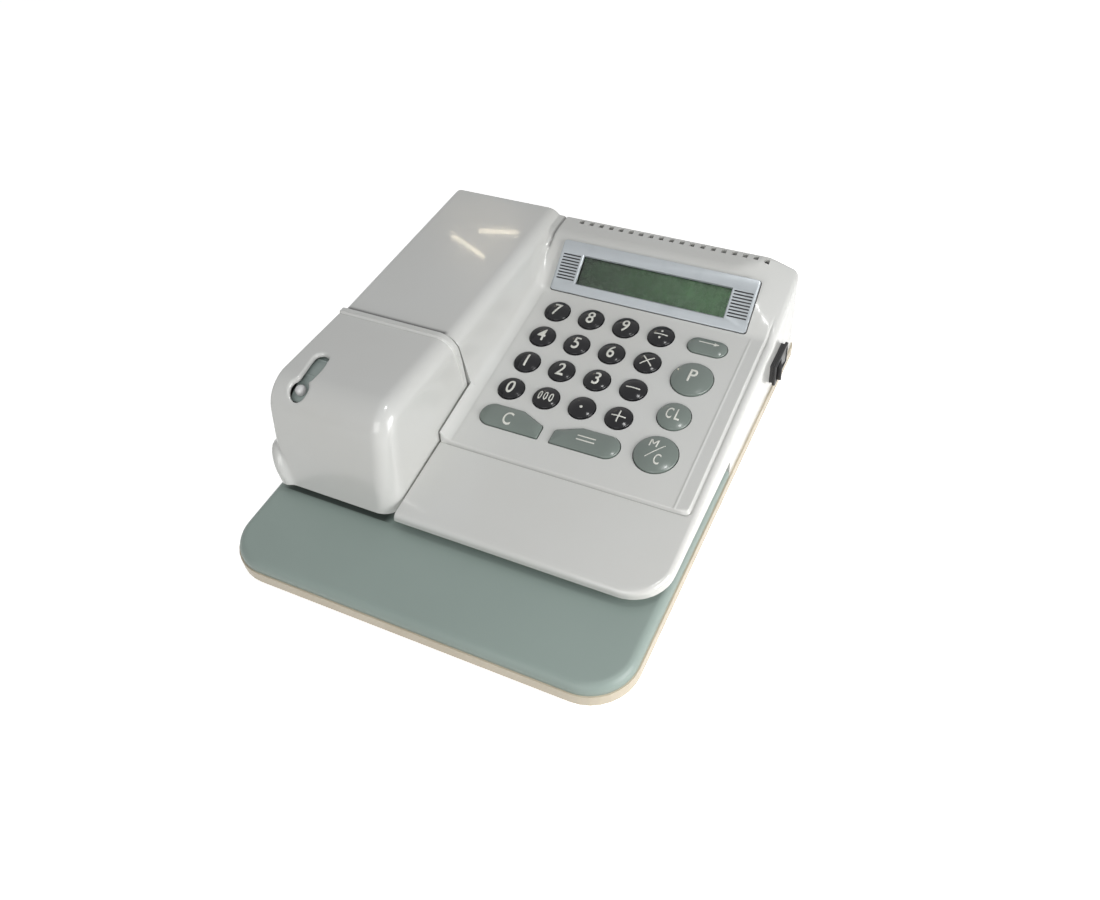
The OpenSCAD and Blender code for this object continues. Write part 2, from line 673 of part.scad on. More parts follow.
module throat_roof() {
    x1 = case_x1 - wall - seat_gap;
    z0 = lip_z + seat_gap;
    color("#5f6a69") difference() {
        union() {
            block([hump_x + wall + seat_gap + 0.5, lip_y + wall + 3, z0], [x1, stop_y + wall + 2, frame_z0]);
            // rib that steadies the roof on the check stop
            block([keep_x0, stop_y + seat_gap, lip_z - 0.7], [x1 - 4, stop_y + wall - seat_gap, z0 + 0.5]);
            for (y = post_rows) translate([feed_x, y, z0 + 0.5]) cylinder(r = post_r, h = 14);
            // bearing of the lever's shaft
            block([well_x - 5.2, lever_y - 3.5, z0 + 0.5], [well_x - 2.4, lever_y + 3.5, lever_z + 3.5]);
        }
        slab(0, far, [[0, 0], [hump_x + 12, 0], [hump_x + 8, lip_y + 6], [0, lip_y + 14]]);
        // gap for the cover's right wall, with its corner, and the case's inner wall
        block([cover_x1 - cover_t - 0.6, 0, 0], [keep_x0 + wall + 0.4, hinge_y + wall + 0.4, far]);
        slab(0, far, [[cover_x1 - 14, 0], [cover_x1, 0], [cover_x1, lip_y + 20],
            [cover_x1 - 4, lip_y + 10], [cover_x1 - 12, lip_y + 5]]);
        // windows of the type wheel and the pinch rollers
        block([type_x - 0.6, type_y - type_r - 0.6, 0], [type_x + type_w + 0.6, type_y + type_r + 0.6, far]);
        for (y = feed_rows)
            block([feed_x - pinch_r - 0.6, y - 2.4, 0], [feed_x + pinch_r + 0.6, y + feed_roller_l + 2.4, far]);
        rod_x(0, well_x, lever_y, lever_z, lever_shaft_r + bearing_fit);
        // clearance round the corner of the lip
        difference() {
            block([x1 - lip_r, 0, 0], [far, lip_y + lip_r, far]);
            translate([case_x1 - lip_r, lip_y + lip_r, 0]) cylinder(r = lip_r - wall - seat_gap, h = far);
        }
    }
}

// ---- keys and display ----
module keycap(k) {
    r = k[3] / 2;
    dome_r = (r * r + key_dome_h * key_dome_h) / (2 * key_dome_h);
    span = asin(r / dome_r);
    color(k[3] == key_d ? "#17191b" : "#8d9c93") on_panel() translate([k[1], k[2], 0])
        if (k[5] == ROUND) rotate_extrude() polygon(concat(
            [[0, key_bottom], [r + key_flange, key_bottom], [r + key_flange, key_bottom + key_flange_t],
             [r, key_bottom + key_flange_t]],
            [for (i = [0:6]) let (a = span * (1 - i / 6))
                [dome_r * sin(a), key_rim_h + key_dome_h - dome_r * (1 - cos(a))]]));
        else {
            translate([0, 0, key_bottom]) linear_extrude(key_flange_t) long_outline(k, key_flange);
            translate([0, 0, key_bottom + 0.2]) linear_extrude(key_rim_h - key_bottom - 0.2) long_outline(k, 0);
            translate([0, 0, 0]) linear_extrude(key_rim_h + key_dome_h / 3) long_outline(k, -0.5);
            translate([0, 0, 0]) linear_extrude(key_rim_h + key_dome_h * 0.6) long_outline(k, -1.4);
        }
}

module key_mat() {
    color("#c7cac5") on_panel() union() {
        translate([mat_u0, mat_v0, mat_top - mat_t]) cube([mat_w, mat_l, mat_t]);
        // rubber domes under the keys, drawn low so that a pressed key clears them
        for (k = KEYS) translate([k[1], k[2], mat_top - 0.2]) cylinder(r1 = 4, r2 = 2.6, h = 0.4);
    }
}

module circuit_board() {
    color("#3f6b4d") on_panel() difference() {
        union() {
            translate([board_u0, board_v0, board_bottom]) cube([board_w, board_l, board_t]);
            // processor and a few parts on the underside, clear of the roof
            for (p = board_parts)
                translate([p[0], p[1], board_bottom - 1.6]) cube([p[2], p[3], 2]);
        }
        for (u = board_posts_u) for (v = board_posts_v)
            translate([u, v, board_bottom - 1]) cylinder(r = 1.2, h = board_t + 2);
    }
}

window_u = (bezel_w - window_w) / 2;
window_v = bezel_start + (bezel_l - window_l) / 2 - 0.6;

module display_bezel() {
    groove = 0.7;
    color("#b4bcc2") on_display() difference() {
        translate([0, bezel_start, 0]) linear_extrude(bezel_t)
            polygon(rounded(box_pts(0, 0, bezel_w, bezel_l), [1.6, 1.6, 1.6, 1.6]));
        translate([window_u, window_v, -1]) cube([window_w, window_l, bezel_t + 2]);
        for (u = [-1, window_u + window_w + 1.4]) for (i = [0:7])
            translate([u, window_v + 1.2 + i * (window_l - 2.4 - groove) / 7, bezel_t - 0.5])
                cube([window_u - 0.4, groove, 1]);
    }
}

module display_window() {
    color("#55685a", 0.5) on_display()
        translate([window_u - 1.6, window_v - 1.4, -1.1]) cube([window_w + 3.2, window_l + 2.8, 1]);
}

module display_module() {
    color("#4f6157") on_display() {
        translate([window_u - 5, window_v - 4, -wall - 0.4 - 4]) cube([window_w + 10, window_l + 8, 4]);
        translate([window_u - 1.4, window_v - 1.2, -wall - 1]) cube([window_w + 2.8, window_l + 2.4, wall - 0.4]);
    }
}

rocker_x = case_x1 + pad_t + 1.2;
rocker_l = switch_l - 5.6;
rocker_h = switch_h - 4;
switch_inset = 1;

module switch_housing() {
    x0 = case_x1 + pad_t;
    color("#151516") difference() {
        union() {
            block([x0, switch_y - switch_l / 2, switch_z - switch_h / 2],
                  [x0 + 1.6, switch_y + switch_l / 2, switch_z + switch_h / 2]);
            block([x0 - 12, switch_y - switch_l / 2 + switch_inset, switch_z - switch_h / 2 + switch_inset],
                  [x0 + 0.5, switch_y + switch_l / 2 - switch_inset, switch_z + switch_h / 2 - switch_inset]);
            for (y = [-6, 0, 6])
                block([x0 - 17, switch_y + y - 0.4, switch_z - 2.4], [x0 - 11, switch_y + y + 0.4, switch_z + 2.4]);
        }
        block([rocker_x - 6.5, switch_y - rocker_l / 2 - 0.9, switch_z - rocker_h / 2 - 0.3],
              [far, switch_y + rocker_l / 2 + 0.9, switch_z + rocker_h / 2 + 0.3]);
        translate([rocker_x - 1.5, switch_y, switch_z - switch_h / 2 + 1.2])
            cylinder(r = 1 + bearing_fit, h = switch_h - 2.4);
    }
}

module switch_rocker() {
    end = rocker_l / 2;
    color("#1b1b1c") translate([rocker_x - 1.5, switch_y, switch_z]) rotate([0, 0, rocker_tilt]) union() {
        translate([0, 0, -rocker_h / 2]) linear_extrude(rocker_h)
            polygon([[-3, -end + 1.5], [2.6, -end], [2.9, -end + 0.6], [1.7, 0],
                [2.9, end - 0.6], [2.6, end], [-3, end - 1.5]]);
        translate([0, 0, -switch_h / 2 + 1.4]) cylinder(r = 1, h = switch_h - 2.8);
    }
}

// ---- print unit ----
module print_frame() {
    x0 = frame_x0;
    x1 = frame_x1 - plate_t;
    top = frame_z0 + frame_h;
    plate = rounded([[frame_y0, frame_z0], [frame_y1, frame_z0], [frame_y1, top], [frame_y0 + 8, top],
                     [frame_y0, top - 14]], [0, 0, 4, 8, 8]);
    motor_x = gear_x - 2.4;
    color("#a9adb1") difference() {
        union() {
            for (x = [x0, x1]) along_x(x, x + plate_t, plate);
            block([x0, frame_y1 - plate_t, frame_z0], [frame_x1, frame_y1, frame_z0 + 22]);
            // inner plate that carries the motor and the idler
            along_x(motor_x, motor_x + plate_t,
                rounded(box_pts(type_y + type_r - 2, frame_z0 + 12, frame_y1 - 0.5, top - 1), [3, 0, 0, 3]));
            block([motor_x, frame_y1 - plate_t, frame_z0], [x1 + 0.2, frame_y1, top - 2]);
            rod_x(motor_x + 0.5, gear_x + gear_w + 1.5, idler_y, idler_z, ink_pin_r);
            rod_x(type_x - 1.5, frame_x1, ink_y, ink_z, ink_pin_r);
        }
        rod_x(x0 - 1, frame_x1 + 1, type_y, type_z, type_shaft_r + bearing_fit);
        rod_x(x0 - 1, x0 + 3, lever_y, lever_z, lever_shaft_r + bearing_fit);
        rod_x(motor_x - 1, motor_x + 2, pinion_y, pinion_z, motor_shaft_r + 1);
        block([feed_x - 5, frame_y1 - 3, 0], [feed_x + 5, far, frame_z0 + 6]);
    }
}

module print_motor() {
    x1 = gear_x - 2.4 - 0.1;
    color("#8f9498") difference() {
        union() {
            rod_x(x1 - motor_l, x1, pinion_y, pinion_z, motor_r);
            rod_x(x1 - motor_l - 2, x1 - motor_l, pinion_y, pinion_z, 3.5);
        }
        rod_x(x1 - 6, x1 + 1, pinion_y, pinion_z, motor_shaft_r + bearing_fit);
    }
}

idler_turn = idler_dir + 180 + 180 / idler_teeth;
pinion_step = 360 / idler_teeth;
pinion_offset = ((idler_turn - pinion_dir) % pinion_step + pinion_step * 1.5) % pinion_step - pinion_step / 2;
pinion_turn = pinion_dir + 180 + 180 / pinion_teeth - pinion_offset * idler_teeth / pinion_teeth;

module print_pinion() {
    color("#d9d6cc") {
        on_x(gear_x, pinion_y, pinion_z) gear(pinion_teeth, print_module, gear_w, 0, pinion_turn);
        rod_x(gear_x - 2.4 - 5, gear_x + 1, pinion_y, pinion_z, motor_shaft_r);
    }
}

module idler_gear() {
    color("#d9d6cc") on_x(gear_x, idler_y, idler_z)
        gear(idler_teeth, print_module, gear_w, ink_pin_r + bearing_fit, idler_turn);
}

module type_shaft() {
    color("#c2c6c9") {
        rod_x(frame_x0 - 0.8, frame_x1 + 0.8, type_y, type_z, type_shaft_r);
        on_x(gear_x, type_y, type_z) gear(type_teeth, print_module, gear_w, 0, idler_dir);
    }
}

module type_wheel() {
    count = 16;
    drum_r = type_r - type_h;
    color("#6f7478") difference() {
        union() {
            rod_x(type_x, type_x + type_w, type_y, type_z, drum_r);
            for (row = [0:2]) for (i = [0:count - 1]) on_x(type_x + 1.2 + row * 4.1, type_y, type_z)
                rotate([0, 0, i * 360 / count]) translate([drum_r - 0.4, -1.5, 0]) cube([type_h + 0.3, 3, 3.2]);
        }
        rod_x(type_x - 1, type_x + type_w + 1, type_y, type_z, type_shaft_r + 0.01);
        for (x = [type_x - 1, type_x + type_w - 2]) difference() {
            rod_x(x, x + 3, type_y, type_z, drum_r - 2.5);
            rod_x(x - 1, x + 4, type_y, type_z, type_shaft_r + 2);
        }
    }
}

module ink_roller() {
    color("#2a2440") difference() {
        rod_x(type_x, type_x + type_w, ink_y, ink_z, ink_r);
        rod_x(type_x - 1, type_x + type_w + 1, ink_y, ink_z, ink_pin_r + bearing_fit);
    }
}

module hammer_arm() {
    z0 = floor_top + 0.7;
    y0 = type_y - anvil_l / 2;
    color("#8a8f94") union() {
        along_x(hammer_x - hammer_w / 2, hammer_x + hammer_w / 2,
            [[y0, z0], [hammer_pivot_y, z0 - 0.2], [hammer_pivot_y + 4, z0 + 1.6], [hammer_pivot_y + 5.5, tail_z],
             [solenoid_y + 3, tail_z], [solenoid_y + 3, tail_z + tail_t], [hammer_pivot_y + 3.4, tail_z + tail_t],
             [hammer_pivot_y, z0 + 4.2], [hammer_pivot_y - 4, z0 + tail_t], [y0, z0 + tail_t]]);
        block([hammer_x - anvil_w / 2, y0, z0 + tail_t - 0.6],
            [hammer_x + anvil_w / 2, y0 + anvil_l, table_top - 0.1]);
        rod_x(hammer_x - hammer_w / 2 - 2.8, hammer_x + hammer_w / 2 + 2.8,
            hammer_pivot_y, hammer_pivot_z, hammer_pin_r);
    }
}

module hammer_solenoid() {
    color("#b08a4a") difference() {
        translate([hammer_x, solenoid_y, solenoid_z]) cylinder(r = 7, h = solenoid_h);
        translate([hammer_x, solenoid_y, 0]) cylinder(r = plunger_r + 0.1, h = far);
    }
    color("#9a9ea2") difference() {
        union() {
            for (x = [hammer_x - 10, hammer_x + 8.4])
                block([x, solenoid_y - 6, floor_top], [x + 1.6, solenoid_y + 6, solenoid_z + solenoid_h + 1.6]);
            for (z = [solenoid_z - 1.6, solenoid_z + solenoid_h])
                block([hammer_x - 9, solenoid_y - 6, z], [hammer_x + 9, solenoid_y + 6, z + 1.6]);
        }
        translate([hammer_x, solenoid_y, 0]) cylinder(r = plunger_r + 0.1, h = far);
    }
}

module solenoid_plunger() {
    color("#d0d3d6") union() {
        translate([hammer_x, solenoid_y, tail_z + tail_t + 0.3]) cylinder(r = plunger_r, h = solenoid_h + 9.5);
        translate([hammer_x, solenoid_y, solenoid_z + solenoid_h + 3.8]) cylinder(r = plunger_r + 1, h = 1);
    }
}

// ---- feed unit ----
module feed_motor() {
    color("#8f9498") difference() {
        union() {
            rod_y(feed_motor_y, feed_motor_y + feed_motor_l, feed_x, feed_motor_z, feed_motor_r);
            rod_y(feed_motor_y - 1, feed_motor_y, feed_x, feed_motor_z, 3);
        }
        rod_y(feed_motor_y - 2, feed_motor_y + 5, feed_x, feed_motor_z, 1 + bearing_fit);
    }
}

module feed_pinion() {
    color("#d9d6cc") {
        on_y(feed_x, feed_gear_y, feed_motor_z)
            gear(feed_pinion_teeth, feed_module, feed_gear_w, 0, 90 + 180 / feed_pinion_teeth);
        rod_y(feed_gear_y + 1, feed_motor_y + 4, feed_x, feed_motor_z, 1);
    }
}

module feed_gear() {
    color("#d9d6cc") on_y(feed_x, feed_gear_y, feed_z)
        gear(feed_teeth, feed_module, feed_gear_w, feed_shaft_r + 0.01, -90);
}

module feed_shaft() {
    color("#c2c6c9") rod_y(feed_y0, feed_y1, feed_x, feed_z, feed_shaft_r);
}

module feed_rollers() {
    color("#33363a") for (y = feed_rows) difference() {
        rod_y(y, y + feed_roller_l, feed_x, feed_z, feed_r);
        rod_y(y - 1, y + feed_roller_l + 1, feed_x, feed_z, feed_shaft_r + 0.01);
    }
}

module pinch_rollers() {
    color("#3b3e42") for (y = feed_rows) union() {
        rod_y(y, y + feed_roller_l, feed_x, pinch_z, pinch_r);
        rod_y(y - 1.8, y + feed_roller_l + 1.8, feed_x, pinch_z, pinch_pin_r);
    }
}

crank_y = lever_y + crank_r * cos(lever_swing / 2);
crank_z = lever_z + crank_r * sin(lever_swing / 2);

module pinch_bar() {
    half = pinch_r - 0.5;
    z1 = pinch_z + pinch_r + 0.6;
    color("#7d8387") difference() {
        union() {
            block([feed_x - half, feed_rows[0] - 2, z1],
                  [feed_x + half, feed_rows[1] + feed_roller_l + 2, z1 + 2.2]);
            for (y = feed_rows) for (e = [y - 2, y + feed_roller_l + 0.3])
                block([feed_x - half, e, frame_z0 + 0.4], [feed_x + half, e + 1.7, z1 + 0.5]);
            // cheek with the crank's slot
            block([feed_x - half, crank_y - 3.2, crank_z - 2.5],
                  [feed_x - half + 1.6, crank_y + 3.2, crank_z + 2.6]);
        }
        for (y = post_rows) translate([feed_x, y, 0]) cylinder(r = post_r + 0.2, h = far);
        for (y = feed_rows) rod_y(y - 3, y + feed_roller_l + 3, feed_x, pinch_z, pinch_pin_r + bearing_fit);
        block([feed_x - half - 1, crank_y - crank_pin_r - 0.3, crank_z - crank_pin_r - 0.1],
              [feed_x - half + 2.6, crank_y + crank_pin_r + 0.6, crank_z + crank_pin_r + 0.1]);
    }
}

// ---- release lever ----
knob_y = lever_y + lever_r * cos(lever_rest);
knob_z = lever_z + lever_r * sin(lever_rest);

module arm(angle, reach, w) {
    on_x(well_x - lever_t / 2, lever_y, lever_z) rotate([0, 0, angle]) {
        translate([0, -w / 2, 0]) cube([reach, w, lever_t]);
        cylinder(r = w / 2 + 0.6, h = lever_t);
    }
}

module release_lever() {
    color("#8b9a94") union() {
        arm(lever_rest, lever_r - 2, 4.4);
        arm(lever_swing / 2, crank_r, 3.4);
        rod_x(well_x, feed_x - pinch_r + 1.6, crank_y, crank_z, crank_pin_r);
        on_x(well_x - lever_t / 2, crank_y, crank_z) cylinder(r = 1.7, h = lever_t);
        rod_x(frame_x0 - 0.6, well_x, lever_y, lever_z, lever_shaft_r);
    }
}

module lever_knob() {
    color("#f2f2ee") difference() {
        translate([well_x, knob_y, knob_z]) sphere(r = knob_r);
        arm(lever_rest, lever_r - 1.99, 4.4);
    }
}

// ---- roller cover ----
cover_rear_z = hump_z + 1.4;
front_dir = atan2(cover_z - lip_z, front_run);
// Centre of the brow's arc, tangent to the front slope and the crown
brow_y = front_y + (cover_z - brow_r - lip_z) / tan(front_dir) + brow_r / sin(front_dir);
brow_z = cover_z - brow_r;

module cover_body(d) {
    foot = lip_z - (d > 0 ? 1 : 0);
    r = cover_shoulder - d;
    x1 = cover_x1 - hump_lean - cover_shoulder;
    hull() {
        translate([hump_x + front_corner_l, front_y + front_corner_l, foot])
            cylinder(r = front_corner_l - d, h = 0.5, $fn = 32);
        translate([cover_x1 - front_corner_r, front_y + front_corner_r, foot])
            cylinder(r = front_corner_r - d, h = 0.5, $fn = 40);
        rod_x(hump_x + d, x1, brow_y, brow_z, brow_r - d, $fn = 72);
        translate([x1, brow_y, brow_z]) rotate([0, 90, 0]) rotate_extrude($fn = 64)
            intersection() {
                translate([brow_r - cover_shoulder, 0]) circle(r = r, $fn = 32);
                translate([0, -far]) square(2 * far);
            }
        rod_y(cover_y1 - 1, cover_y1 + (d > 0 ? 2 : 0), x1, cover_rear_z - cover_shoulder, r, $fn = 40);
        block([hump_x + d, cover_y1 - 1, foot], [cover_x1 - d, cover_y1 + (d > 0 ? 2 : 0), foot + 0.5]);
        block([hump_x + d, cover_y1 - 1, cover_rear_z - d - 1],
            [hump_x + d + 1, cover_y1 + (d > 0 ? 2 : 0), cover_rear_z - d]);
    }
}

module roller_cover() {
    grip_r = 14;
    color("#eceeed") difference() {
        union() {
            difference() {
                union() {
                    cover_body(0);
                    // finger grip at the lower left
                    intersection() {
                        translate([hump_x + grip_r - 1.4, front_y + grip_r + 1.2, lip_z + 10])
                            sphere(r = grip_r);
                        block([0, 0, lip_z], [far, cover_y1, far]);
                    }
                }
                cover_body(cover_t);
            }
            rod_x(hump_x + lug_l + lug_gap, bead_x1, hinge_y, hinge_z, bead_r);
            block([hump_x + lug_l + lug_gap, cover_y1 - 3, hinge_z - bead_r], [bead_x1, cover_y1, hinge_z]);
        }
        // lever's channel and finger well
        translate([well_x, well_y, 40]) cylinder(r = well_r, h = 40);
        block([well_x - channel_w / 2, well_y, 40], [well_x + channel_w / 2, channel_end_y, 80]);
        translate([well_x, channel_end_y, 40]) cylinder(r = channel_w / 2, h = 40);
        rod_x(0, panel_x0, hinge_y, hinge_z, hinge_pin_r + bearing_fit);
        for (x = [hump_x - 1, bead_x1])
            rod_x(x, x + lug_l + 1 + lug_gap + (x > hump_x ? 0 : 0.2), hinge_y, hinge_z, bead_r + 0.3);
    }
}

module hinge_pin() {
    color("#c2c6c9") rod_x(hump_x + 0.3, bead_x1 + lug_l, hinge_y, hinge_z, hinge_pin_r);
}

place() base_tray();
place() table_plate();
place() rubber_feet();
place() case_screws();
place() battery_door();
place() battery_cells();
place() battery_contacts();
place() power_jack();
place() throat_roof();
place() upper_case();
place() key_mat();
place() circuit_board();
place() display_bezel();
place() display_window();
place() display_module();
place() switch_housing();
place() switch_rocker();
place() print_frame();
place() feed_motor();
place() print_motor();
place() hammer_solenoid();
place() solenoid_plunger();
place() hammer_arm();
place() roller_cover();
place() hinge_pin();
place() release_lever();
place() lever_knob();
place() pinch_bar();
place() pinch_rollers();
place() feed_shaft();
place() feed_rollers();
place() feed_gear();
place() feed_pinion();
place() type_wheel();
place() type_shaft();
place() idler_gear();
place() print_pinion();
place() ink_roller();
for (k = KEYS) place() keycap(k);
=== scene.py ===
import bpy
import bmesh
import math
import numpy as np
from collections import namedtuple
from mathutils import Matrix, Vector


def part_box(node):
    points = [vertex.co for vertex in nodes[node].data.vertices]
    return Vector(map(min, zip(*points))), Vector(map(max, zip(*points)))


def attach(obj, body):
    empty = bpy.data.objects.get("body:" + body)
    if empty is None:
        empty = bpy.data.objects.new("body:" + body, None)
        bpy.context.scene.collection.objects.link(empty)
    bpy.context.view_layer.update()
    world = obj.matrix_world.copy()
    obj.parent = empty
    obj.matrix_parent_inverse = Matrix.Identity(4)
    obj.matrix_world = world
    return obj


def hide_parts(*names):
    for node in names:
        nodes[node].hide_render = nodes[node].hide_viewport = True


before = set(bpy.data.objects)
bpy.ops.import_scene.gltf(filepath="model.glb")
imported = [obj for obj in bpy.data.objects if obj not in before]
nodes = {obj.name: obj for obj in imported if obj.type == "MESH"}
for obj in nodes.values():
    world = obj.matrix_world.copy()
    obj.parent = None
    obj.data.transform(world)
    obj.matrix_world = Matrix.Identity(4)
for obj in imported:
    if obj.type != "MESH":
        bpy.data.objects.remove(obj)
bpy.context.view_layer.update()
print("frame loaded")

# Places are written in millimetres from the base's left and front edges, as the case was drawn,
# and moved to the frame here.
layout = {"shiftX": -102.25, "shiftY": -119.0}


def toFrame(x, y, z):
    return ((x + layout["shiftX"]) / 1000, (y + layout["shiftY"]) / 1000, z / 1000)


def newObject(name, data):
    obj = bpy.data.objects.new(name, data)
    bpy.context.scene.collection.objects.link(obj)
    return obj


# shader node helpers
def addNode(tree, kind, **values):
    node = tree.nodes.new(kind)
    for key, value in values.items():
        setattr(node, key, value)
    return node


def feed(tree, value, socket):
    # a number or a colour is set, an output is linked
    if isinstance(value, (int, float)):
        socket.default_value = value
    elif isinstance(value, (tuple, list)):
        socket.default_value = (*value, 1)
    else:
        tree.links.new(value, socket)


def noiseAt(tree, coords, scale, detail=2.0, rough=0.5):
    noise = addNode(tree, "ShaderNodeTexNoise")
    for label, value in (("Detail", detail), ("Roughness", rough), ("Scale", scale), ("Vector", coords)):
        feed(tree, value, noise.inputs[label])
    return noise.outputs["Fac"]


def rangeOf(tree, value, low, high, toLow, toHigh):
    node = addNode(tree, "ShaderNodeMapRange", clamp=True)
    for i, v in enumerate((value, low, high, toLow, toHigh)):
        feed(tree, v, node.inputs[i])
    return node.outputs[0]


def mathOf(tree, operation, a, b=0.0):
    node = addNode(tree, "ShaderNodeMath", operation=operation)
    feed(tree, a, node.inputs[0])
    feed(tree, b, node.inputs[1])
    return node.outputs[0]


def blendOf(tree, factor, a, b, mode="MIX"):
    node = addNode(tree, "ShaderNodeMix", data_type="RGBA", blend_type=mode)
    for i, v in ((0, factor), (6, a), (7, b)):
        feed(tree, v, node.inputs[i])
    return node.outputs[2]


def eitherOf(tree, factor, a, b):
    node = addNode(tree, "ShaderNodeMixShader")
    for i, v in enumerate((factor, a, b)):
        tree.links.new(v, node.inputs[i])
    return node.outputs[0]


def axesOf(tree, kind="Object"):
    # the three coordinates of the place, one by one
    split = addNode(tree, "ShaderNodeSeparateXYZ")
    tree.links.new(addNode(tree, "ShaderNodeTexCoord").outputs[kind], split.inputs[0])
    return split.outputs


# camera and stage
cameraSet = {
    "target": (124.42, 98.72, 32.0), "distance": 465.03,   # mm
    "azimuth": 30.69, "elevation": 46.47, "roll": -6.83,    # degrees
    "focal": 1012.42, "imageWidth": 1100,                   # pixels
    "sensor": 36,                                           # mm
}


def makeCamera(s):
    az, el, roll = (math.radians(s[k]) for k in ("azimuth", "elevation", "roll"))
    back = Vector((math.sin(az) * math.cos(el), -math.cos(az) * math.cos(el), math.sin(el)))
    right = Vector((math.cos(az), math.sin(az), 0))
    up = back.cross(right)
    turnedRight = math.cos(roll) * right + math.sin(roll) * up
    turnedUp = -math.sin(roll) * right + math.cos(roll) * up
    data = bpy.data.cameras.new("photoCamera")
    data.sensor_width = s["sensor"]
    data.lens = s["sensor"] * s["focal"] / s["imageWidth"]
    data.clip_start = 0.01
    camera = newObject("photoCamera", data)
    place = Vector(toFrame(*s["target"])) + back * s["distance"] / 1000
    turn = Matrix([[turnedRight[i], turnedUp[i], back[i]] for i in range(3)])
    camera.matrix_world = Matrix.Translation(place) @ turn.to_4x4()
    bpy.context.scene.camera = camera


makeCamera(cameraSet)
bpy.context.scene.view_settings.view_transform = "Standard"

# colours, powers in watts, places and sizes in metres
stageSet = {
    "floorColor": (0.86, 0.85, 0.83), "floorGlow": 0.76, "floorHalf": 6,
    "worldHigh": (0.95, 0.975, 1.0), "worldLow": (0.62, 0.52, 0.42), "worldRamp": (0.35, 0.75), "worldStrength": 0.26,
    # low from the right, from the front, and from high up: name, power, place, size
    "lights": (("keyLight", 1.6, (0.46, -0.10, 0.17), 0.24), ("fillLight", 1.5, (0.04, -0.66, 0.40), 0.4),
               ("topLight", 1.0, (0.23, 0.04, 0.88), 0.12)),
    "lightAim": (0, 0, 0.03),
    # two narrow lamps whose reflections give the pair of streaks on the hump: name, place, long direction
    "lamps": (("narrowLight0", (-0.421, 0.593, 0.485), (0.92, -0.38, 0.0)),
              ("narrowLight1", (-0.400, 0.634, 0.485), (0.96, 0.26, 0.0))),
    "lampPower": 0.016, "lampSize": (0.003, 0.05), "lampColor": (1.0, 0.86, 0.62), "lampAim": (-0.05, 0.09, 0.06),
}


def directView(tree):
    # 1 for rays of the camera, of gloss and of glass, 0 for the light that falls on the object
    path = addNode(tree, "ShaderNodeLightPath")
    seen = path.outputs["Is Camera Ray"]
    for label in ("Is Glossy Ray", "Is Transmission Ray"):
        seen = mathOf(tree, "MAXIMUM", seen, path.outputs[label])
    return seen


def makeWorld(s):
    # a soft room, paler overhead, warmer and darker low down, seen as plain white
    world = bpy.data.worlds.new("softRoom")
    bpy.context.scene.world = world
    world.use_nodes = True
    tree = world.node_tree
    tree.nodes.clear()
    ramp = addNode(tree, "ShaderNodeValToRGB")
    for stop, place, color in zip(ramp.color_ramp.elements, s["worldRamp"], (s["worldLow"], s["worldHigh"])):
        stop.position = place
        stop.color = (*color, 1)
    tree.links.new(rangeOf(tree, axesOf(tree, "Generated")["Z"], -1, 1, 0, 1), ramp.inputs[0])
    room = addNode(tree, "ShaderNodeBackground")
    feed(tree, ramp.outputs[0], room.inputs["Color"])
    feed(tree, s["worldStrength"], room.inputs["Strength"])
    white = addNode(tree, "ShaderNodeBackground")
    feed(tree, (1, 1, 1), white.inputs["Color"])
    both = eitherOf(tree, directView(tree), room.outputs[0], white.outputs[0])
    tree.links.new(both, addNode(tree, "ShaderNodeOutputWorld").inputs[0])


def makeFloor(s):
    # pale paper that looks brighter than the light it gives back
    material = bpy.data.materials.new("floorPaper")
    material.use_nodes = True
    tree = material.node_tree
    tree.nodes.clear()
    paper = addNode(tree, "ShaderNodeBsdfDiffuse")
    feed(tree, s["floorColor"], paper.inputs["Color"])
    glow = addNode(tree, "ShaderNodeEmission")
    feed(tree, s["floorGlow"], glow.inputs["Strength"])
    bright = addNode(tree, "ShaderNodeAddShader")
    tree.links.new(paper.outputs[0], bright.inputs[0])
    tree.links.new(glow.outputs[0], bright.inputs[1])
    both = eitherOf(tree, directView(tree), paper.outputs[0], bright.outputs[0])
    tree.links.new(both, addNode(tree, "ShaderNodeOutputMaterial").inputs[0])
    mesh = bpy.data.meshes.new("floor")
    a = s["floorHalf"]
    mesh.from_pydata([(-a, -a, 0), (a, -a, 0), (a, a, 0), (-a, a, 0)], [], [(0, 1, 2, 3)])
    mesh.materials.append(material)
    floor = newObject("floor", mesh)


def areaLight(name, power, place):
    light = bpy.data.lights.new(name, "AREA")
    light.energy = power
    lamp = newObject(name, light)
    lamp.location = place
    return light, lamp


def makeLights(s):
    for name, power, place, size in s["lights"]:
        light, lamp = areaLight(name, power, place)
        light.size = size
        lamp.rotation_euler = (Vector(s["lightAim"]) - lamp.location).to_track_quat("-Z", "Y").to_euler()
    for name, place, along in s["lamps"]:
        light, lamp = areaLight(name, s["lampPower"], place)
        light.shape = "RECTANGLE"
        light.size, light.size_y = s["lampSize"]
        light.color = s["lampColor"]
        back = (lamp.location - Vector(s["lampAim"])).normalized()
        side = Vector(along).cross(back).normalized()
        lamp.rotation_euler = Matrix((side, back.cross(side), back)).transposed().to_euler()


makeWorld(stageSet)
makeFloor(stageSet)
makeLights(stageSet)
print("camera and stage made")


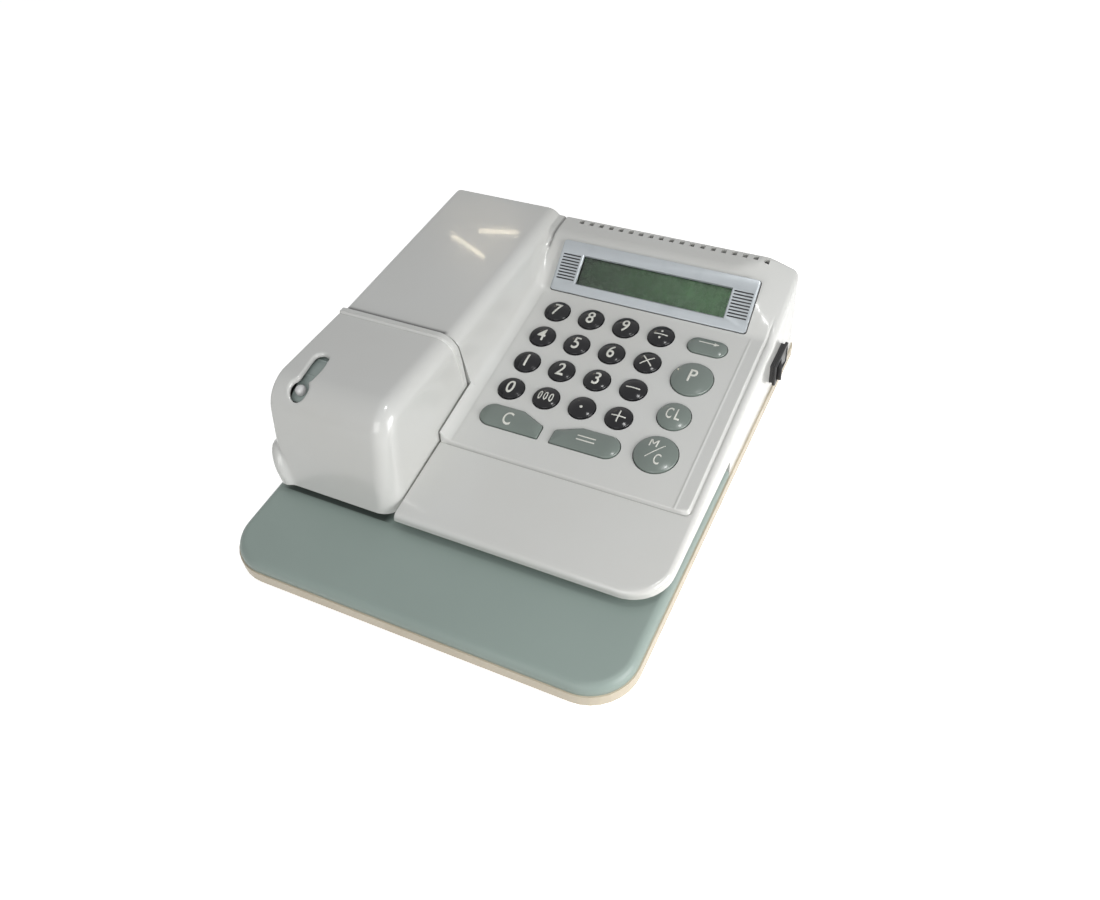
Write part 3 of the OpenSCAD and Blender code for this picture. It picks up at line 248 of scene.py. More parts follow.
# shader node groups
def newGroup(name, outputs, **inputs):
    # inputs: the first value of each, four numbers for a colour, three for a vector
    tree = bpy.data.node_groups.new(name, "ShaderNodeTree")
    for label, value in inputs.items():
        kind = {1: "Float", 3: "Vector", 4: "Color"}[len(value) if isinstance(value, tuple) else 1]
        socket = tree.interface.new_socket(label.capitalize(), in_out="INPUT", socket_type="NodeSocket" + kind)
        socket.default_value = value
    for label in outputs:
        kind = "Color" if label == "Color" else "Float"
        tree.interface.new_socket(label, in_out="OUTPUT", socket_type="NodeSocket" + kind)
    return tree, tree.nodes.new("NodeGroupInput").outputs, tree.nodes.new("NodeGroupOutput").inputs


skinOutputs = ("Color", "Roughness", "Height")


def makeMouldGroup():
    # moulded plastic: slow tone drift, fine flow mottling, sparse dust, and a fine texture for the bump
    tree, given, result = newGroup(
        "mouldedSkin", skinOutputs, base=(0.8, 0.8, 0.8, 1), aged=(0.7, 0.68, 0.6, 1), drift=0.25, grain=2600.0,
        low=0.25, high=0.4, dust=0.15)
    place = addNode(tree, "ShaderNodeTexCoord").outputs["Object"]
    drift = rangeOf(tree, noiseAt(tree, place, 14, 3), 0.35, 0.7, 0.0, given["Drift"])
    color = blendOf(tree, drift, given["Base"], given["Aged"])
    specks = rangeOf(tree, noiseAt(tree, place, 900, 4, 0.7), 0.66, 0.74, 0.0, given["Dust"])
    color = blendOf(tree, specks, color, (0.42, 0.40, 0.36))
    wear = rangeOf(tree, noiseAt(tree, place, 60, 4, 0.6), 0.3, 0.7, given["Low"], given["High"])
    for label, value in (("Color", color), ("Roughness", wear),
                         ("Height", noiseAt(tree, place, given["Grain"], 2))):
        tree.links.new(value, result[label])
    return tree


def makeBrushGroup():
    # drawn or turned metal: long fine streaks along one axis with a little tarnish
    tree, given, result = newGroup(
        "drawnMetal", skinOutputs, base=(0.6, 0.6, 0.6, 1), tarnish=(0.3, 0.28, 0.25, 1), streak=(40, 40, 1500),
        low=0.2, high=0.45)
    place = addNode(tree, "ShaderNodeTexCoord").outputs["Object"]
    stretched = addNode(tree, "ShaderNodeVectorMath", operation="MULTIPLY")
    tree.links.new(place, stretched.inputs[0])
    tree.links.new(given["Streak"], stretched.inputs[1])
    streaks = noiseAt(tree, stretched.outputs[0], 1.0, 3)
    stain = rangeOf(tree, noiseAt(tree, place, 120, 4, 0.65), 0.5, 0.75, 0.0, 0.6)
    wear = rangeOf(tree, streaks, 0.3, 0.7, given["Low"], given["High"])
    for label, value in (("Color", blendOf(tree, stain, given["Base"], given["Tarnish"])), ("Roughness", wear),
                         ("Height", streaks)):
        tree.links.new(value, result[label])
    return tree


def makeLineGroup():
    # painted shade along a groove or seam: dips below 1 where the value passes the place
    tree, given, result = newGroup("seamLine", ("Shade",), value=0.0, place=0.0, width=0.0005, depth=0.5)
    offset = mathOf(tree, "DIVIDE", mathOf(tree, "SUBTRACT", given["Value"], given["Place"]), given["Width"])
    square = mathOf(tree, "MULTIPLY", offset, offset)
    fall = mathOf(tree, "EXPONENT", mathOf(tree, "MULTIPLY", square, -1.0))
    shade = mathOf(tree, "SUBTRACT", 1.0, mathOf(tree, "MULTIPLY", fall, given["Depth"]))
    tree.links.new(shade, result["Shade"])
    return tree


mouldGroup = makeMouldGroup()
brushGroup = makeBrushGroup()
lineGroup = makeLineGroup()

# materials
def startMaterial(name):
    material = bpy.data.materials.new(name)
    material.use_nodes = True
    tree = material.node_tree
    return material, tree, tree.nodes["Principled BSDF"].inputs


def bumpFrom(tree, shader, height, strength, distance):
    bump = addNode(tree, "ShaderNodeBump")
    for label, value in (("Strength", strength), ("Distance", distance), ("Height", height)):
        feed(tree, value, bump.inputs[label])
    tree.links.new(bump.outputs[0], shader["Normal"])


def skinnedMaterial(name, group, bump, depth, **given):
    # a node group's colour, roughness and height on a new material
    material, tree, shader = startMaterial(name)
    skin = addNode(tree, "ShaderNodeGroup", node_tree=group)
    for label, value in given.items():
        skin.inputs[label.capitalize()].default_value = value
    tree.links.new(skin.outputs["Color"], shader["Base Color"])
    tree.links.new(skin.outputs["Roughness"], shader["Roughness"])
    bumpFrom(tree, shader, skin.outputs["Height"], bump, depth)
    return material, shader


def plasticMaterial(name, base, aged, drift, grain, low, high, dust, bump, coat=0.0, coatRough=0.05, specular=0.5):
    material, shader = skinnedMaterial(name, mouldGroup, bump, 0.0002, base=(*base, 1), aged=(*aged, 1), drift=drift,
                                       grain=grain, low=low, high=high, dust=dust)
    shader["Specular IOR Level"].default_value = specular
    if coat:
        shader["Coat Weight"].default_value = coat
        shader["Coat Roughness"].default_value = coatRough
    return material


def metalMaterial(name, base, tarnish, streak=(40, 40, 1500), low=0.2, high=0.45, metallic=1.0, bump=0.08):
    material, shader = skinnedMaterial(name, brushGroup, bump, 0.0001, base=(*base, 1), tarnish=(*tarnish, 1),
                                       streak=streak, low=low, high=high)
    shader["Metallic"].default_value = metallic
    return material


# colour, aged colour, drift, grain, lowest and highest roughness, dust, bump, and where they differ from
# plasticMaterial's own values: coat, roughness of the coat, specular
plastics = {
    "caseWhite": ((0.66, 0.665, 0.645), (0.60, 0.59, 0.55), 0.35, 1500, 0.16, 0.26, 0.05, 0.02, 0.35, 0.045),
    "tableGrey": ((0.285, 0.352, 0.322), (0.255, 0.315, 0.288), 0.5, 2600, 0.34, 0.46, 0.18, 0.10),
    "baseCream": ((0.60, 0.53, 0.41), (0.50, 0.43, 0.32), 0.5, 1800, 0.32, 0.48, 0.2, 0.06),
    "keyBlack": ((0.006, 0.006, 0.008), (0.012, 0.012, 0.013), 0.5, 4200, 0.12, 0.2, 0.05, 0.03, 0.25, 0.05, 0.2),
    "keyGrey": ((0.175, 0.212, 0.19), (0.15, 0.178, 0.16), 0.5, 4200, 0.16, 0.26, 0.05, 0.03, 0.2),
    "legendWhite": ((0.78, 0.78, 0.72), (0.62, 0.62, 0.56), 0.5, 5200, 0.45, 0.6, 0.12, 0.04),
    "switchBlack": ((0.012, 0.012, 0.013), (0.03, 0.03, 0.03), 0.4, 3600, 0.3, 0.45, 0.15, 0.08),
    "knobWhite": ((0.72, 0.72, 0.72), (0.6, 0.6, 0.58), 0.3, 3600, 0.15, 0.25, 0.08, 0.03, 0.3),
    "leverGrey": ((0.36, 0.42, 0.40), (0.28, 0.34, 0.31), 0.5, 3000, 0.4, 0.55, 0.2, 0.08),
    "roofGrey": ((0.075, 0.09, 0.085), (0.06, 0.07, 0.068), 0.5, 2400, 0.5, 0.65, 0.25, 0.12),
    "rubberBlack": ((0.02, 0.02, 0.02), (0.045, 0.043, 0.04), 0.6, 3200, 0.65, 0.85, 0.35, 0.3, 0.0, 0.05, 0.3),
    "gearNylon": ((0.66, 0.62, 0.53), (0.5, 0.45, 0.36), 0.5, 3200, 0.4, 0.55, 0.15, 0.08),
    "matRubber": ((0.52, 0.54, 0.5), (0.42, 0.43, 0.4), 0.4, 3000, 0.6, 0.75, 0.2, 0.15),
    "boardGreen": ((0.03, 0.11, 0.05), (0.05, 0.13, 0.06), 0.5, 1600, 0.3, 0.45, 0.3, 0.1),
    "inkFelt": ((0.015, 0.01, 0.04), (0.03, 0.02, 0.06), 0.6, 2200, 0.85, 0.95, 0.1, 0.8, 0.0, 0.05, 0.1),
    "cellJacket": ((0.03, 0.10, 0.05), (0.05, 0.12, 0.06), 0.3, 3200, 0.2, 0.3, 0.1, 0.03, 0.4),
}
# colour, tarnish, and where they differ from metalMaterial's own values: streak, roughness, metallic, bump
metals = {
    "plateSteel": ((0.55, 0.56, 0.57), (0.4, 0.38, 0.35)),
    "shaftSteel": ((0.68, 0.69, 0.7), (0.5, 0.48, 0.45), (1500, 40, 40), 0.12, 0.28),
    "motorSteel": ((0.42, 0.43, 0.45), (0.3, 0.29, 0.28), (40, 900, 900), 0.25, 0.45),
    "typeIron": ((0.22, 0.225, 0.24), (0.04, 0.035, 0.06), (400, 400, 400), 0.35, 0.6),
    "coilCopper": ((0.55, 0.28, 0.12), (0.35, 0.16, 0.07), (30, 30, 4200), 0.3, 0.5, 1.0, 0.4),
    "screwZinc": ((0.6, 0.6, 0.58), (0.42, 0.38, 0.3), (600, 600, 600), 0.25, 0.45),
    "bezelSilver": ((0.44, 0.47, 0.49), (0.38, 0.41, 0.43), (4, 900, 900), 0.28, 0.42, 0.6, 0.05),
}
finishes = {name: plasticMaterial(name, *row) for name, row in plastics.items()}
finishes.update({name: metalMaterial(name, *row) for name, row in metals.items()})

# places in the frame, in metres
shadeSet = {
    # rectangle of painted shadow on the table under the roller cover: ends and softness across and along, and its shade
    "zone": ((-0.0975, -0.0355), (-0.0741, 0.0)), "zoneSoft": (0.004, 0.0005), "zoneShade": (0.30, 0.30, 0.30),
    # lines of painted shade on the white shell: axis, place, width, depth, and the line's two ends
    "lines": (
        (1, 0.0041, 0.0012, 0.80, -0.0988, -0.0405),     # seam at the roller cover
        (1, -0.0300, 0.0006, 0.30, -0.030, 0.0935),      # crease between lip and key panel
        (0, -0.0318, 0.0009, 0.55, 0.0935, 0.1180),      # groove between deck and hump
    ),
    "lineSoft": 0.002,
}


def shadedCopy(name, source, shaded):
    # a copy of a material, its colour changed by shaded(tree, color, axes)
    material = finishes[source].copy()
    material.name = name
    tree = material.node_tree
    target = tree.nodes["Principled BSDF"].inputs["Base Color"]
    tree.links.new(shaded(tree, target.links[0].from_socket, axesOf(tree)), target)
    return material


def betweenOf(tree, value, low, high, soft, depth=1):
    # depth between low and high, nothing beyond them
    return mathOf(tree, "MULTIPLY", rangeOf(tree, value, low, low + soft, 0, depth),
                  rangeOf(tree, value, high - soft, high, 1, 0))


# painted shade: soft dark lines at the cover's seam, the crease and the deck's groove
def withLines(tree, color, axes):
    s = shadeSet
    for axis, place, width, depth, low, high in s["lines"]:
        line = addNode(tree, "ShaderNodeGroup", node_tree=lineGroup)
        onLine = betweenOf(tree, axes[1 - axis], low, high, s["lineSoft"], depth)
        for label, value in (("Value", axes[axis]), ("Place", place), ("Width", width), ("Depth", onLine)):
            feed(tree, value, line.inputs[label])
        color = blendOf(tree, 1.0, color, line.outputs["Shade"], "MULTIPLY")
    return color


# painted shadow: the table darker in a soft rectangle under the roller cover
def withZone(tree, color, axes):
    s = shadeSet
    across, along = (betweenOf(tree, axes[k], *s["zone"][k], s["zoneSoft"][k]) for k in (0, 1))
    dark = blendOf(tree, 1.0, color, s["zoneShade"], "MULTIPLY")
    return blendOf(tree, mathOf(tree, "MULTIPLY", across, along), color, dark)


# the white shell's material with its lines of painted shade
finishes["shellWhite"] = shadedCopy("shellWhite", "caseWhite", withLines)
finishes["tableShadowUnderCover"] = shadedCopy("tableShadowUnderCover", "tableGrey", withZone)

displayTone = {"left": -0.012, "right": 0.07, "cells": 1350.0, "cellDepth": 0.3,
               "dark": (0.010, 0.018, 0.011), "pale": (0.085, 0.15, 0.085), "shade": (0.012, 0.02, 0.012)}


def displayMaterial(s):
    # dark green display glass, paler to the right as painted light, with the faint grid of its cells
    material, tree, shader = startMaterial("displayGreen")
    place = addNode(tree, "ShaderNodeTexCoord").outputs["Object"]
    x = axesOf(tree)["X"]
    wave = mathOf(tree, "SINE", mathOf(tree, "MULTIPLY", x, s["cells"]))
    cells = rangeOf(tree, wave, 0.88, 1.0, 0.0, s["cellDepth"])
    cloud = rangeOf(tree, noiseAt(tree, place, 55, 3), 0.3, 0.7, 0.0, 0.25)
    # painted light: the display darker on the left and paler on the right
    color = blendOf(tree, rangeOf(tree, x, s["left"], s["right"], 0.0, 1.0), s["dark"], s["pale"])
    color = blendOf(tree, mathOf(tree, "ADD", cells, cloud), color, s["shade"])
    tree.links.new(color, shader["Base Color"])
    tree.links.new(rangeOf(tree, noiseAt(tree, place, 300, 2), 0.3, 0.7, 0.2, 0.35), shader["Roughness"])
    bumpFrom(tree, shader, noiseAt(tree, place, 2600, 2), 0.03, 0.0001)
    return material


windowTone = {"tint": (0.86, 0.95, 0.86), "thick": (0.80, 0.92, 0.80), "ior": 1.3}


def windowMaterial(s):
    # clear green-tinted sheet with a few faint rub marks
    material, tree, shader = startMaterial("windowGlass")
    place = addNode(tree, "ShaderNodeTexCoord").outputs["Object"]
    cloud = rangeOf(tree, noiseAt(tree, place, 90, 4), 0.35, 0.7, 0.0, 1.0)
    rubs = rangeOf(tree, noiseAt(tree, place, 500, 4, 0.7), 0.62, 0.72, 0.03, 0.14)
    for label, value in (("Base Color", blendOf(tree, cloud, s["tint"], s["thick"])), ("Roughness", rubs),
                         ("Transmission Weight", 1.0), ("IOR", s["ior"])):
        feed(tree, value, shader[label])
    bumpFrom(tree, shader, noiseAt(tree, place, 40, 2), 0.02, 0.0004)
    return material


finishes["displayGreen"] = displayMaterial(displayTone)
finishes["windowGlass"] = windowMaterial(windowTone)
print("materials made")

# mesh helpers
def smoothByAngle(mesh, degrees):
    mesh.shade_smooth()
    mesh.set_sharp_from_angle(angle=math.radians(degrees))


def meshFrom(name, points, faces):
    mesh = bpy.data.meshes.new(name)
    mesh.from_pydata([toFrame(*p) for p in points], [], faces)
    mesh.validate()
    return mesh


def addObject(name, mesh, body, finish, standsFor=(), slot=None, smoothAngle=35):
    obj = newObject(name, mesh)
    mesh.materials.append(finishes[finish])
    smoothByAngle(mesh, smoothAngle)
    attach(obj, body)
    if standsFor:
        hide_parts(*standsFor)
    return obj


def addSolid(name, shape, *more):
    # shape: (points, faces) in millimetres
    return addObject(name, meshFrom(name, *shape), *more)


def bakedMesh(obj):
    return bpy.data.meshes.new_from_object(obj.evaluated_get(bpy.context.evaluated_depsgraph_get()))


def modify(obj, kind, **values):
    # sets one modifier and applies it
    step = obj.modifiers.new(kind, kind)
    for key, value in values.items():
        setattr(step, key, value)
    old, obj.data = obj.data, bakedMesh(obj)
    obj.modifiers.clear()
    bpy.data.meshes.remove(old)


def joined(parts):
    # several (points, faces) as one
    points, faces = [], []
    for p, f in parts:
        faces += [tuple(i + len(points) for i in face) for face in f]
        points += p
    return points, faces


def cutWith(obj, cutters):
    # cutters: a list of (points, faces) in millimetres
    tool = newObject("cutter", meshFrom("cutter", *joined(cutters)))
    work = bmesh.new()
    work.from_mesh(tool.data)
    bmesh.ops.recalc_face_normals(work, faces=work.faces)
    work.to_mesh(tool.data)
    work.free()
    modify(obj, "BOOLEAN", operation="DIFFERENCE", solver="MANIFOLD", object=tool)
    bpy.data.objects.remove(tool)


def gridFaces(rows, n, closed=False):
    # faces between rows of n points each; closed joins the end of a row to its start
    return [(k * n + i, k * n + (i + 1) % n, (k + 1) * n + (i + 1) % n, (k + 1) * n + i)
            for k in range(rows - 1) for i in range(n if closed else n - 1)]


def loft(rings):
    # a closed skin over rings of points, the lowest ring first
    n, last = len(rings[0]), len(rings) - 1
    caps = [tuple(range(n - 1, -1, -1)), tuple(range(last * n, last * n + n))]
    return [p for ring in rings for p in ring], caps + gridFaces(len(rings), n, closed=True)


def prism(outline, low, high, place=lambda p: p):
    # a closed prism over a flat outline, each point passed through place
    return loft([[place((x, y, z)) for x, y in outline] for z in (low, high)])


def alongX(p):
    return p[2], p[0], p[1]


def alongY(p):
    return p[0], p[2], p[1]


def circleOutline(x, y, r, steps=48):
    angles = [2 * math.pi * i / steps for i in range(steps)]
    return [(x + r * math.cos(w), y + r * math.sin(w)) for w in angles]


def roundedOutline(corners, radii, steps=8):
    result = []
    for i, (corner, r) in enumerate(zip(corners, radii)):
        p = np.array(corner, float)
        a, b = (np.array(corners[k % len(corners)], float) - p for k in (i - 1, i + 1))
        a /= np.linalg.norm(a)
        b /= np.linalg.norm(b)
        half = math.acos(max(-1, min(1, float(a @ b)))) / 2
        c = p + (a + b) / np.linalg.norm(a + b) * r / math.sin(half)
        s, e = p + a * r / math.tan(half) - c, p + b * r / math.tan(half) - c
        start = math.atan2(s[1], s[0])
        turn = (math.atan2(e[1], e[0]) - start + math.pi) % (2 * math.pi) - math.pi
        for k in range(steps + 1):
            w = start + turn * k / steps
            result.append((c[0] + r * math.cos(w), c[1] + r * math.sin(w)))
    return result


def boxOutline(x0, y0, x1, y1):
    return [(x0, y0), (x1, y0), (x1, y1), (x0, y1)]


def boxAround(x, y, halfWide, halfHigh):
    return boxOutline(x - halfWide, y - halfHigh, x + halfWide, y + halfHigh)


# planes of the key panel and of the display's slope
slopes = {
    "panelTilt": 7.14, "keyX": 89.35, "keyY": 182.0, "frontZ": 28.0, "creaseY": 89.5,
    "displayTilt": 35.4, "displayX": 78.8, "displayY": 195.4, "deckZ": 59.2,
}
panelRise = math.tan(math.radians(slopes["panelTilt"]))


def panelZ(y):
    return slopes["frontZ"] + (y - slopes["creaseY"]) * panelRise


def onPlane(x0, y0, z0, tilt):
    c, s = math.cos(math.radians(tilt)), math.sin(math.radians(tilt))
    return lambda p: (x0 + p[0], y0 + p[1] * c - p[2] * s, z0 + p[1] * s + p[2] * c)


onPanel = onPlane(slopes["keyX"], slopes["keyY"], panelZ(slopes["keyY"]), slopes["panelTilt"])
onDisplay = onPlane(slopes["displayX"], slopes["displayY"], panelZ(slopes["displayY"]), slopes["displayTilt"])


def smoothMax(a, b, k):
    h = np.maximum(k - np.abs(a - b), 0) / k
    return np.maximum(a, b) + h * h * k / 4


def smoothMin(a, b, k):
    return -smoothMax(-a, -b, k)


def smoothStep(t):
    t = np.clip(t, 0, 1)
    return t * t * (3 - 2 * t)


def solidShell(obj, thickness):
    # gives an open skin its wall, inwards
    modify(obj, "SOLIDIFY", thickness=thickness / 1000, offset=-1, use_even_offset=False, use_rim=True)


def bevelEdges(obj, width, segments=3, angle=40):
    modify(obj, "BEVEL", width=width / 1000, segments=segments, limit_method="ANGLE",
           angle_limit=math.radians(angle), harden_normals=False)
    smoothByAngle(obj.data, 50)


# upper case
caseShape = {
    "left": 3.2, "right": 199.2, "front": 44.2, "back": 237.2,       # outline
    "lipRadius": 19.0, "rearRadius": 4.2, "leftRadius": 3.0, "edgeRadius": 2.2, "seamRadius": 0.7,
    "bottomFront": 17.9, "bottomRear": 8.0, "stopY": 134.0, "wall": 1.9, "rimRows": 6,
    "lipZ": 22.1, "lipRise": 5.0, "step": 0.9, "plateauRight": 195.3, "plateauRadius": 3.0, "creaseGroove": 0.55,
    "borderX": 188.3, "borderRise": 0.45, "borderRidge": 0.25, "keysEnd": (188, 8),
    "stripX": 76.8, "stripRadius": 6.8, "stripRidge": 0.22, "stripEnd": (196, 16),
    "humpZ": 63.6, "humpFall": 1.0, "humpFront": 121.6, "humpLength": 115.6, "shoulder": 8.0,
    "humpTopX": 67.8, "humpFootX": 70.4, "humpInset": 0.4, "seamY": 122.2, "innerX": 70.4,
    "facetWidth": 15.0, "facetDrop": 5.0, "facetBlend": 0.35, "deckGroove": 0.9, "deckGrooveStart": (211, 7),
    "vents": 19, "ventX": 81.2, "ventSpan": 101.5, "ventHalf": 1.25, "ventY": (231.9, 234.6), "ventDepth": 3.2,
    "plug": (150, 22, 3.9), "plugWall": (232, 240), "switchHole": (203, 21.5, 9.8, 5.8), "switchWall": (190, 204),
    "keyGap": 0.4, "displayHole": (11, 4.25, 95, 23.25),
}


def ridge(distance, width):
    return np.exp(-(distance / width) ** 2)


def caseHeight(x, y):
    s = caseShape
    lip = s["lipZ"] + (y - s["front"]) * s["lipRise"] / (slopes["creaseY"] - s["front"])
    cornerY, cornerZ = slopes["displayY"], panelZ(slopes["displayY"])
    display = cornerZ + (y - cornerY) * math.tan(math.radians(slopes["displayTilt"]))
    rear = smoothMin(smoothMax(panelZ(y), display, 1.2), np.full_like(y, slopes["deckZ"]), 2.0)
    base = np.where(y < slopes["creaseY"], lip + s["step"], rear)
    # raised plateau of the key panel, with a fine groove along its edge
    dx, dy, r = s["plateauRight"] - x, y - slopes["creaseY"], s["plateauRadius"]
    inside = np.where((dx < r) & (dy < r), r - np.hypot(r - dx, r - dy), np.minimum(dx, dy))
    z = base - s["step"] * (1 - smoothStep((inside + 0.1) / 0.8)) - s["creaseGroove"] * ridge(inside + 0.45, 0.4)
    onPlateau = smoothStep(inside / 1.0)
    keyZone = onPlateau * (1 - smoothStep((y - s["keysEnd"][0]) / s["keysEnd"][1]))
    z += s["borderRise"] * np.clip((x - s["borderX"]) / (s["plateauRight"] - s["borderX"]), 0, 1) * keyZone
    z += s["borderRidge"] * ridge(x - s["borderX"], 0.5) * keyZone
    # hollow that climbs to the hump, fading out up the display's slope
    t = np.clip(s["stripX"] - x, 0, s["stripRadius"] - 0.02)
    rise = s["stripRadius"] - np.sqrt(s["stripRadius"] ** 2 - t ** 2)
    z += rise * onPlateau * (1 - smoothStep((y - s["stripEnd"][0]) / s["stripEnd"][1]))
    z += s["stripRidge"] * ridge(x - s["stripX"], 0.55) * keyZone
    # facet at the deck's right end
    a = np.array([s["right"] - 1, cornerY, cornerZ + 1])
    b = np.array([s["right"] - s["facetWidth"], s["back"], slopes["deckZ"]])
    c = np.array([s["right"], s["back"], slopes["deckZ"] - s["facetDrop"]])
    n = np.cross(c - a, b - a)
    facet = a[2] - (n[0] * (x - a[0]) + n[1] * (y - a[1])) / n[2]
    z = np.where((x > 140) & (y > cornerY - 6), smoothMin(z, facet, s["facetBlend"]), z)
    # hump on the left: a leaning wall from the hollow up to the shoulder
    top = s["humpZ"] - (y - s["humpFront"]) / s["humpLength"] * s["humpFall"]
    t = np.clip(x - (s["humpTopX"] - s["shoulder"]), 0, s["shoulder"] - 0.02)
    shoulder = top - s["shoulder"] + np.sqrt(s["shoulder"] ** 2 - t ** 2)
    foot = s["humpFootX"] - s["humpInset"]
    up = np.clip((foot - x) / (foot - s["humpTopX"]), 0, 1)
    wall = z + up * (top - s["shoulder"] - z)
    hump = np.where(x < s["humpTopX"], smoothMax(shoulder, z, 0.8), np.maximum(wall, z))
    z = np.where((x < s["humpFootX"]) & (y > s["seamY"] - 0.01), hump, z)
    # groove where the deck meets the hump
    start = smoothStep((y - s["deckGrooveStart"][0]) / s["deckGrooveStart"][1])
    return z - s["deckGroove"] * ridge(x - s["humpFootX"] - 0.1, 0.7) * start


def linesFor(low, high, step, marks):
    # grid lines from low to high, with extra lines close to each mark (place, half width, spacing)
    values = set(np.round(np.arange(low, high + step * 0.5, step), 3))
    for place, half, spacing in marks:
        values |= set(np.round(np.arange(place - half, place + half + spacing * 0.5, spacing), 3))
    values |= {low, high}
    values = sorted(v for v in values if low <= v <= high)
    result = [values[0]]
    for v in values[1:]:
        if v - result[-1] > 0.09:
            result.append(v)
    result[-1] = high
    return np.array(result)


def roundCorner(x, y, cx, cy, sx, sy, r):
    # maps the square corner cell block onto a quarter disc; returns new x, y and the distance to the edge
    a, b = (x - cx) * sx, (y - cy) * sy
    hit = (a > 0) & (b > 0)
    m = np.maximum(a, b)
    safe = np.where(m > 0, m, 1)
    angle = np.where(a >= b, 45 * b / safe, 90 - 45 * a / safe)
    nx, ny = cx + sx * m * np.cos(np.radians(angle)), cy + sy * m * np.sin(np.radians(angle))
    return np.where(hit, nx, x), np.where(hit, ny, y), np.where(hit, r - m, 1e9)


def edgeLines(place, side, r):
    return [(place - side * d, 0.01, 1) for d in (0, 0.08 * r, 0.2 * r, 0.36 * r, 0.55 * r, 0.77 * r, r)]


def makeCaseSkin():
    s = caseShape
    e = s["edgeRadius"]
    # closer grid lines at the hump's wall and the hollow, the border, the crease, the seam and the deck's end
    closeX = [(63.5, 4, 0.8), (68.3, 2.5, 0.22), (73.6, 3.4, 0.45), (s["borderX"], 1.2, 0.3), (195.2, 1.3, 0.2),
              (s["innerX"], 0.01, 1), (s["right"] - s["lipRadius"], 0.01, 1)]
    closeY = [(slopes["creaseY"], 1.6, 0.18), (slopes["displayY"], 2.4, 0.5), (s["seamY"], 0.5, 0.15),
              (227.8, 2.4, 0.5), (s["stopY"], 0.15, 0.15)]
    xs = linesFor(s["left"], s["right"], 4.0, edgeLines(s["left"], -1, e) + edgeLines(s["right"], 1, e) + closeX)
    ys = linesFor(s["front"], s["back"], 4.0, edgeLines(s["front"], -1, e) + edgeLines(s["back"], 1, e) + closeY)
    gx, gy = np.meshgrid(xs, ys, indexing="ij")
    behind = gy > s["seamY"] - 0.01
    edge = np.minimum.reduce([s["right"] - gx, gy - s["front"], s["back"] - gy,
                              np.where(behind, gx - s["left"], 1e9)])
    x, y = gx.copy(), gy.copy()
    for side, end, radius in (("right", "front", "lipRadius"), ("right", "back", "rearRadius"),
                              ("left", "back", "leftRadius")):
        sx, sy, r = 1 if side == "right" else -1, 1 if end == "back" else -1, s[radius]
        x, y, d = roundCorner(x, y, s[side] - sx * r, s[end] - sy * r, sx, sy, r)
        edge = np.where(d < 1e8, d, edge)
    # short roundings where the skin ends at the cover
    seamEdge = np.where((gx < s["innerX"]) & behind, gy - s["seamY"], 1e9)
    innerEdge = np.where((gy < s["seamY"]) & (gx >= s["innerX"] - 0.01), gx - s["innerX"], 1e9)
    z = caseHeight(x, y)
    for dist, r in ((edge, e), (seamEdge, s["seamRadius"]), (innerEdge, s["seamRadius"])):
        t = np.clip(r - dist, 0, r)
        z -= r - np.sqrt(np.maximum(r * r - t * t, 0))
    index, points, faces = {}, [], []

    def vertex(i, j):
        if (i, j) not in index:
            index[i, j] = len(points)
            points.append((x[i, j], y[i, j], z[i, j]))
        return index[i, j]

    for i in range(len(xs) - 1):
        for j in range(len(ys) - 1):
            underCover = xs[i] < s["innerX"] - 0.01 and ys[j] < s["seamY"] - 0.01
            if not underCover:
                faces.append((vertex(i, j), vertex(i + 1, j), vertex(i + 1, j + 1), vertex(i, j + 1)))
    # walls: drop the open rim to the bottom in even rows
    edges = dict.fromkeys((f[k], f[(k + 1) % 4]) for f in faces for k in range(4))
    rim = {a: b for a, b in edges if (b, a) not in edges}
    rows = s["rimRows"]
    below = {}
    for v in rim:
        px, py, pz = points[v]
        low = s["bottomFront"] if py < s["stopY"] - 0.02 else s["bottomRear"]
        below[v] = [v] + list(range(len(points), len(points) + rows))
        points += [(px, py, pz + (low - pz) * k / rows) for k in range(1, rows + 1)]
    for a, b in rim.items():
        faces += [(below[b][k], below[a][k], below[a][k + 1], below[b][k + 1]) for k in range(rows)]
    return points, faces


# a key lies around (x, y) on the panel; wide is its diameter or width, long its length
keyRow = namedtuple("keyRow", "node mark x y wide long shape")
pitchX, pitchY = 18.95, 18.1
keyGrid = (("7", "8", "9", "divide"), ("4", "5", "6", "times"), ("1", "2", "3", "minus"), ("0", "000", "point", "plus"))
keySet = [keyRow("key_" + mark, mark, col * pitchX, -row * pitchY, 13.1, 13.1, "round")
          for row, marks in enumerate(keyGrid) for col, mark in enumerate(marks)]
longRow = -3 * pitchY - 17.5
keySet += [
    keyRow("key_shift", "arrow", 80.9, 0, 9.8, 19.9, "pill"),
    keyRow("key_print", "P", 80.9, -21.4, 20.3, 20.3, "round"),
    keyRow("key_clear_line", "CL", 80.9, -45.2, 15.9, 15.9, "round"),
    keyRow("key_memory", "M/C", 80.9, -68.3, 20.6, 20.6, "round"),
    keyRow("key_c", "C", 8.7, longRow, 12.7, 32.6, "slantRight"),
    keyRow("key_equals", "equals", 47.85, longRow, 12.7, 33.1, "slantLeft"),
]


# the two long keys: width of the narrow end, run of the slant, and radii of its three corners
slantShape = {"narrow": 7.4, "run": 12.5, "radii": (0.8, 1.5, 3)}


def keyOutline(key, grow, steps=48):
    # around the key's own middle
    w, l = key.wide / 2 + grow, key.long / 2 + grow
    if key.shape == "round":
        return circleOutline(0, 0, w, steps)
    if key.shape == "pill":
        return roundedOutline(boxAround(0, 0, l, w), [w - 0.01] * 4)
    # one long side slants off from the round end to a narrower square end
    s = slantShape
    corners = [(-l, -w), (l, -w), (l, s["narrow"] - key.wide / 2 + 0.67 * grow),
               (key.long / 2 - s["run"] + 0.2 * grow, w), (-l, w)]
    outline = roundedOutline(corners, [w - 0.01, *s["radii"], w - 0.01])
    return [(-x, y) for x, y in reversed(outline)] if key.shape == "slantLeft" else outline


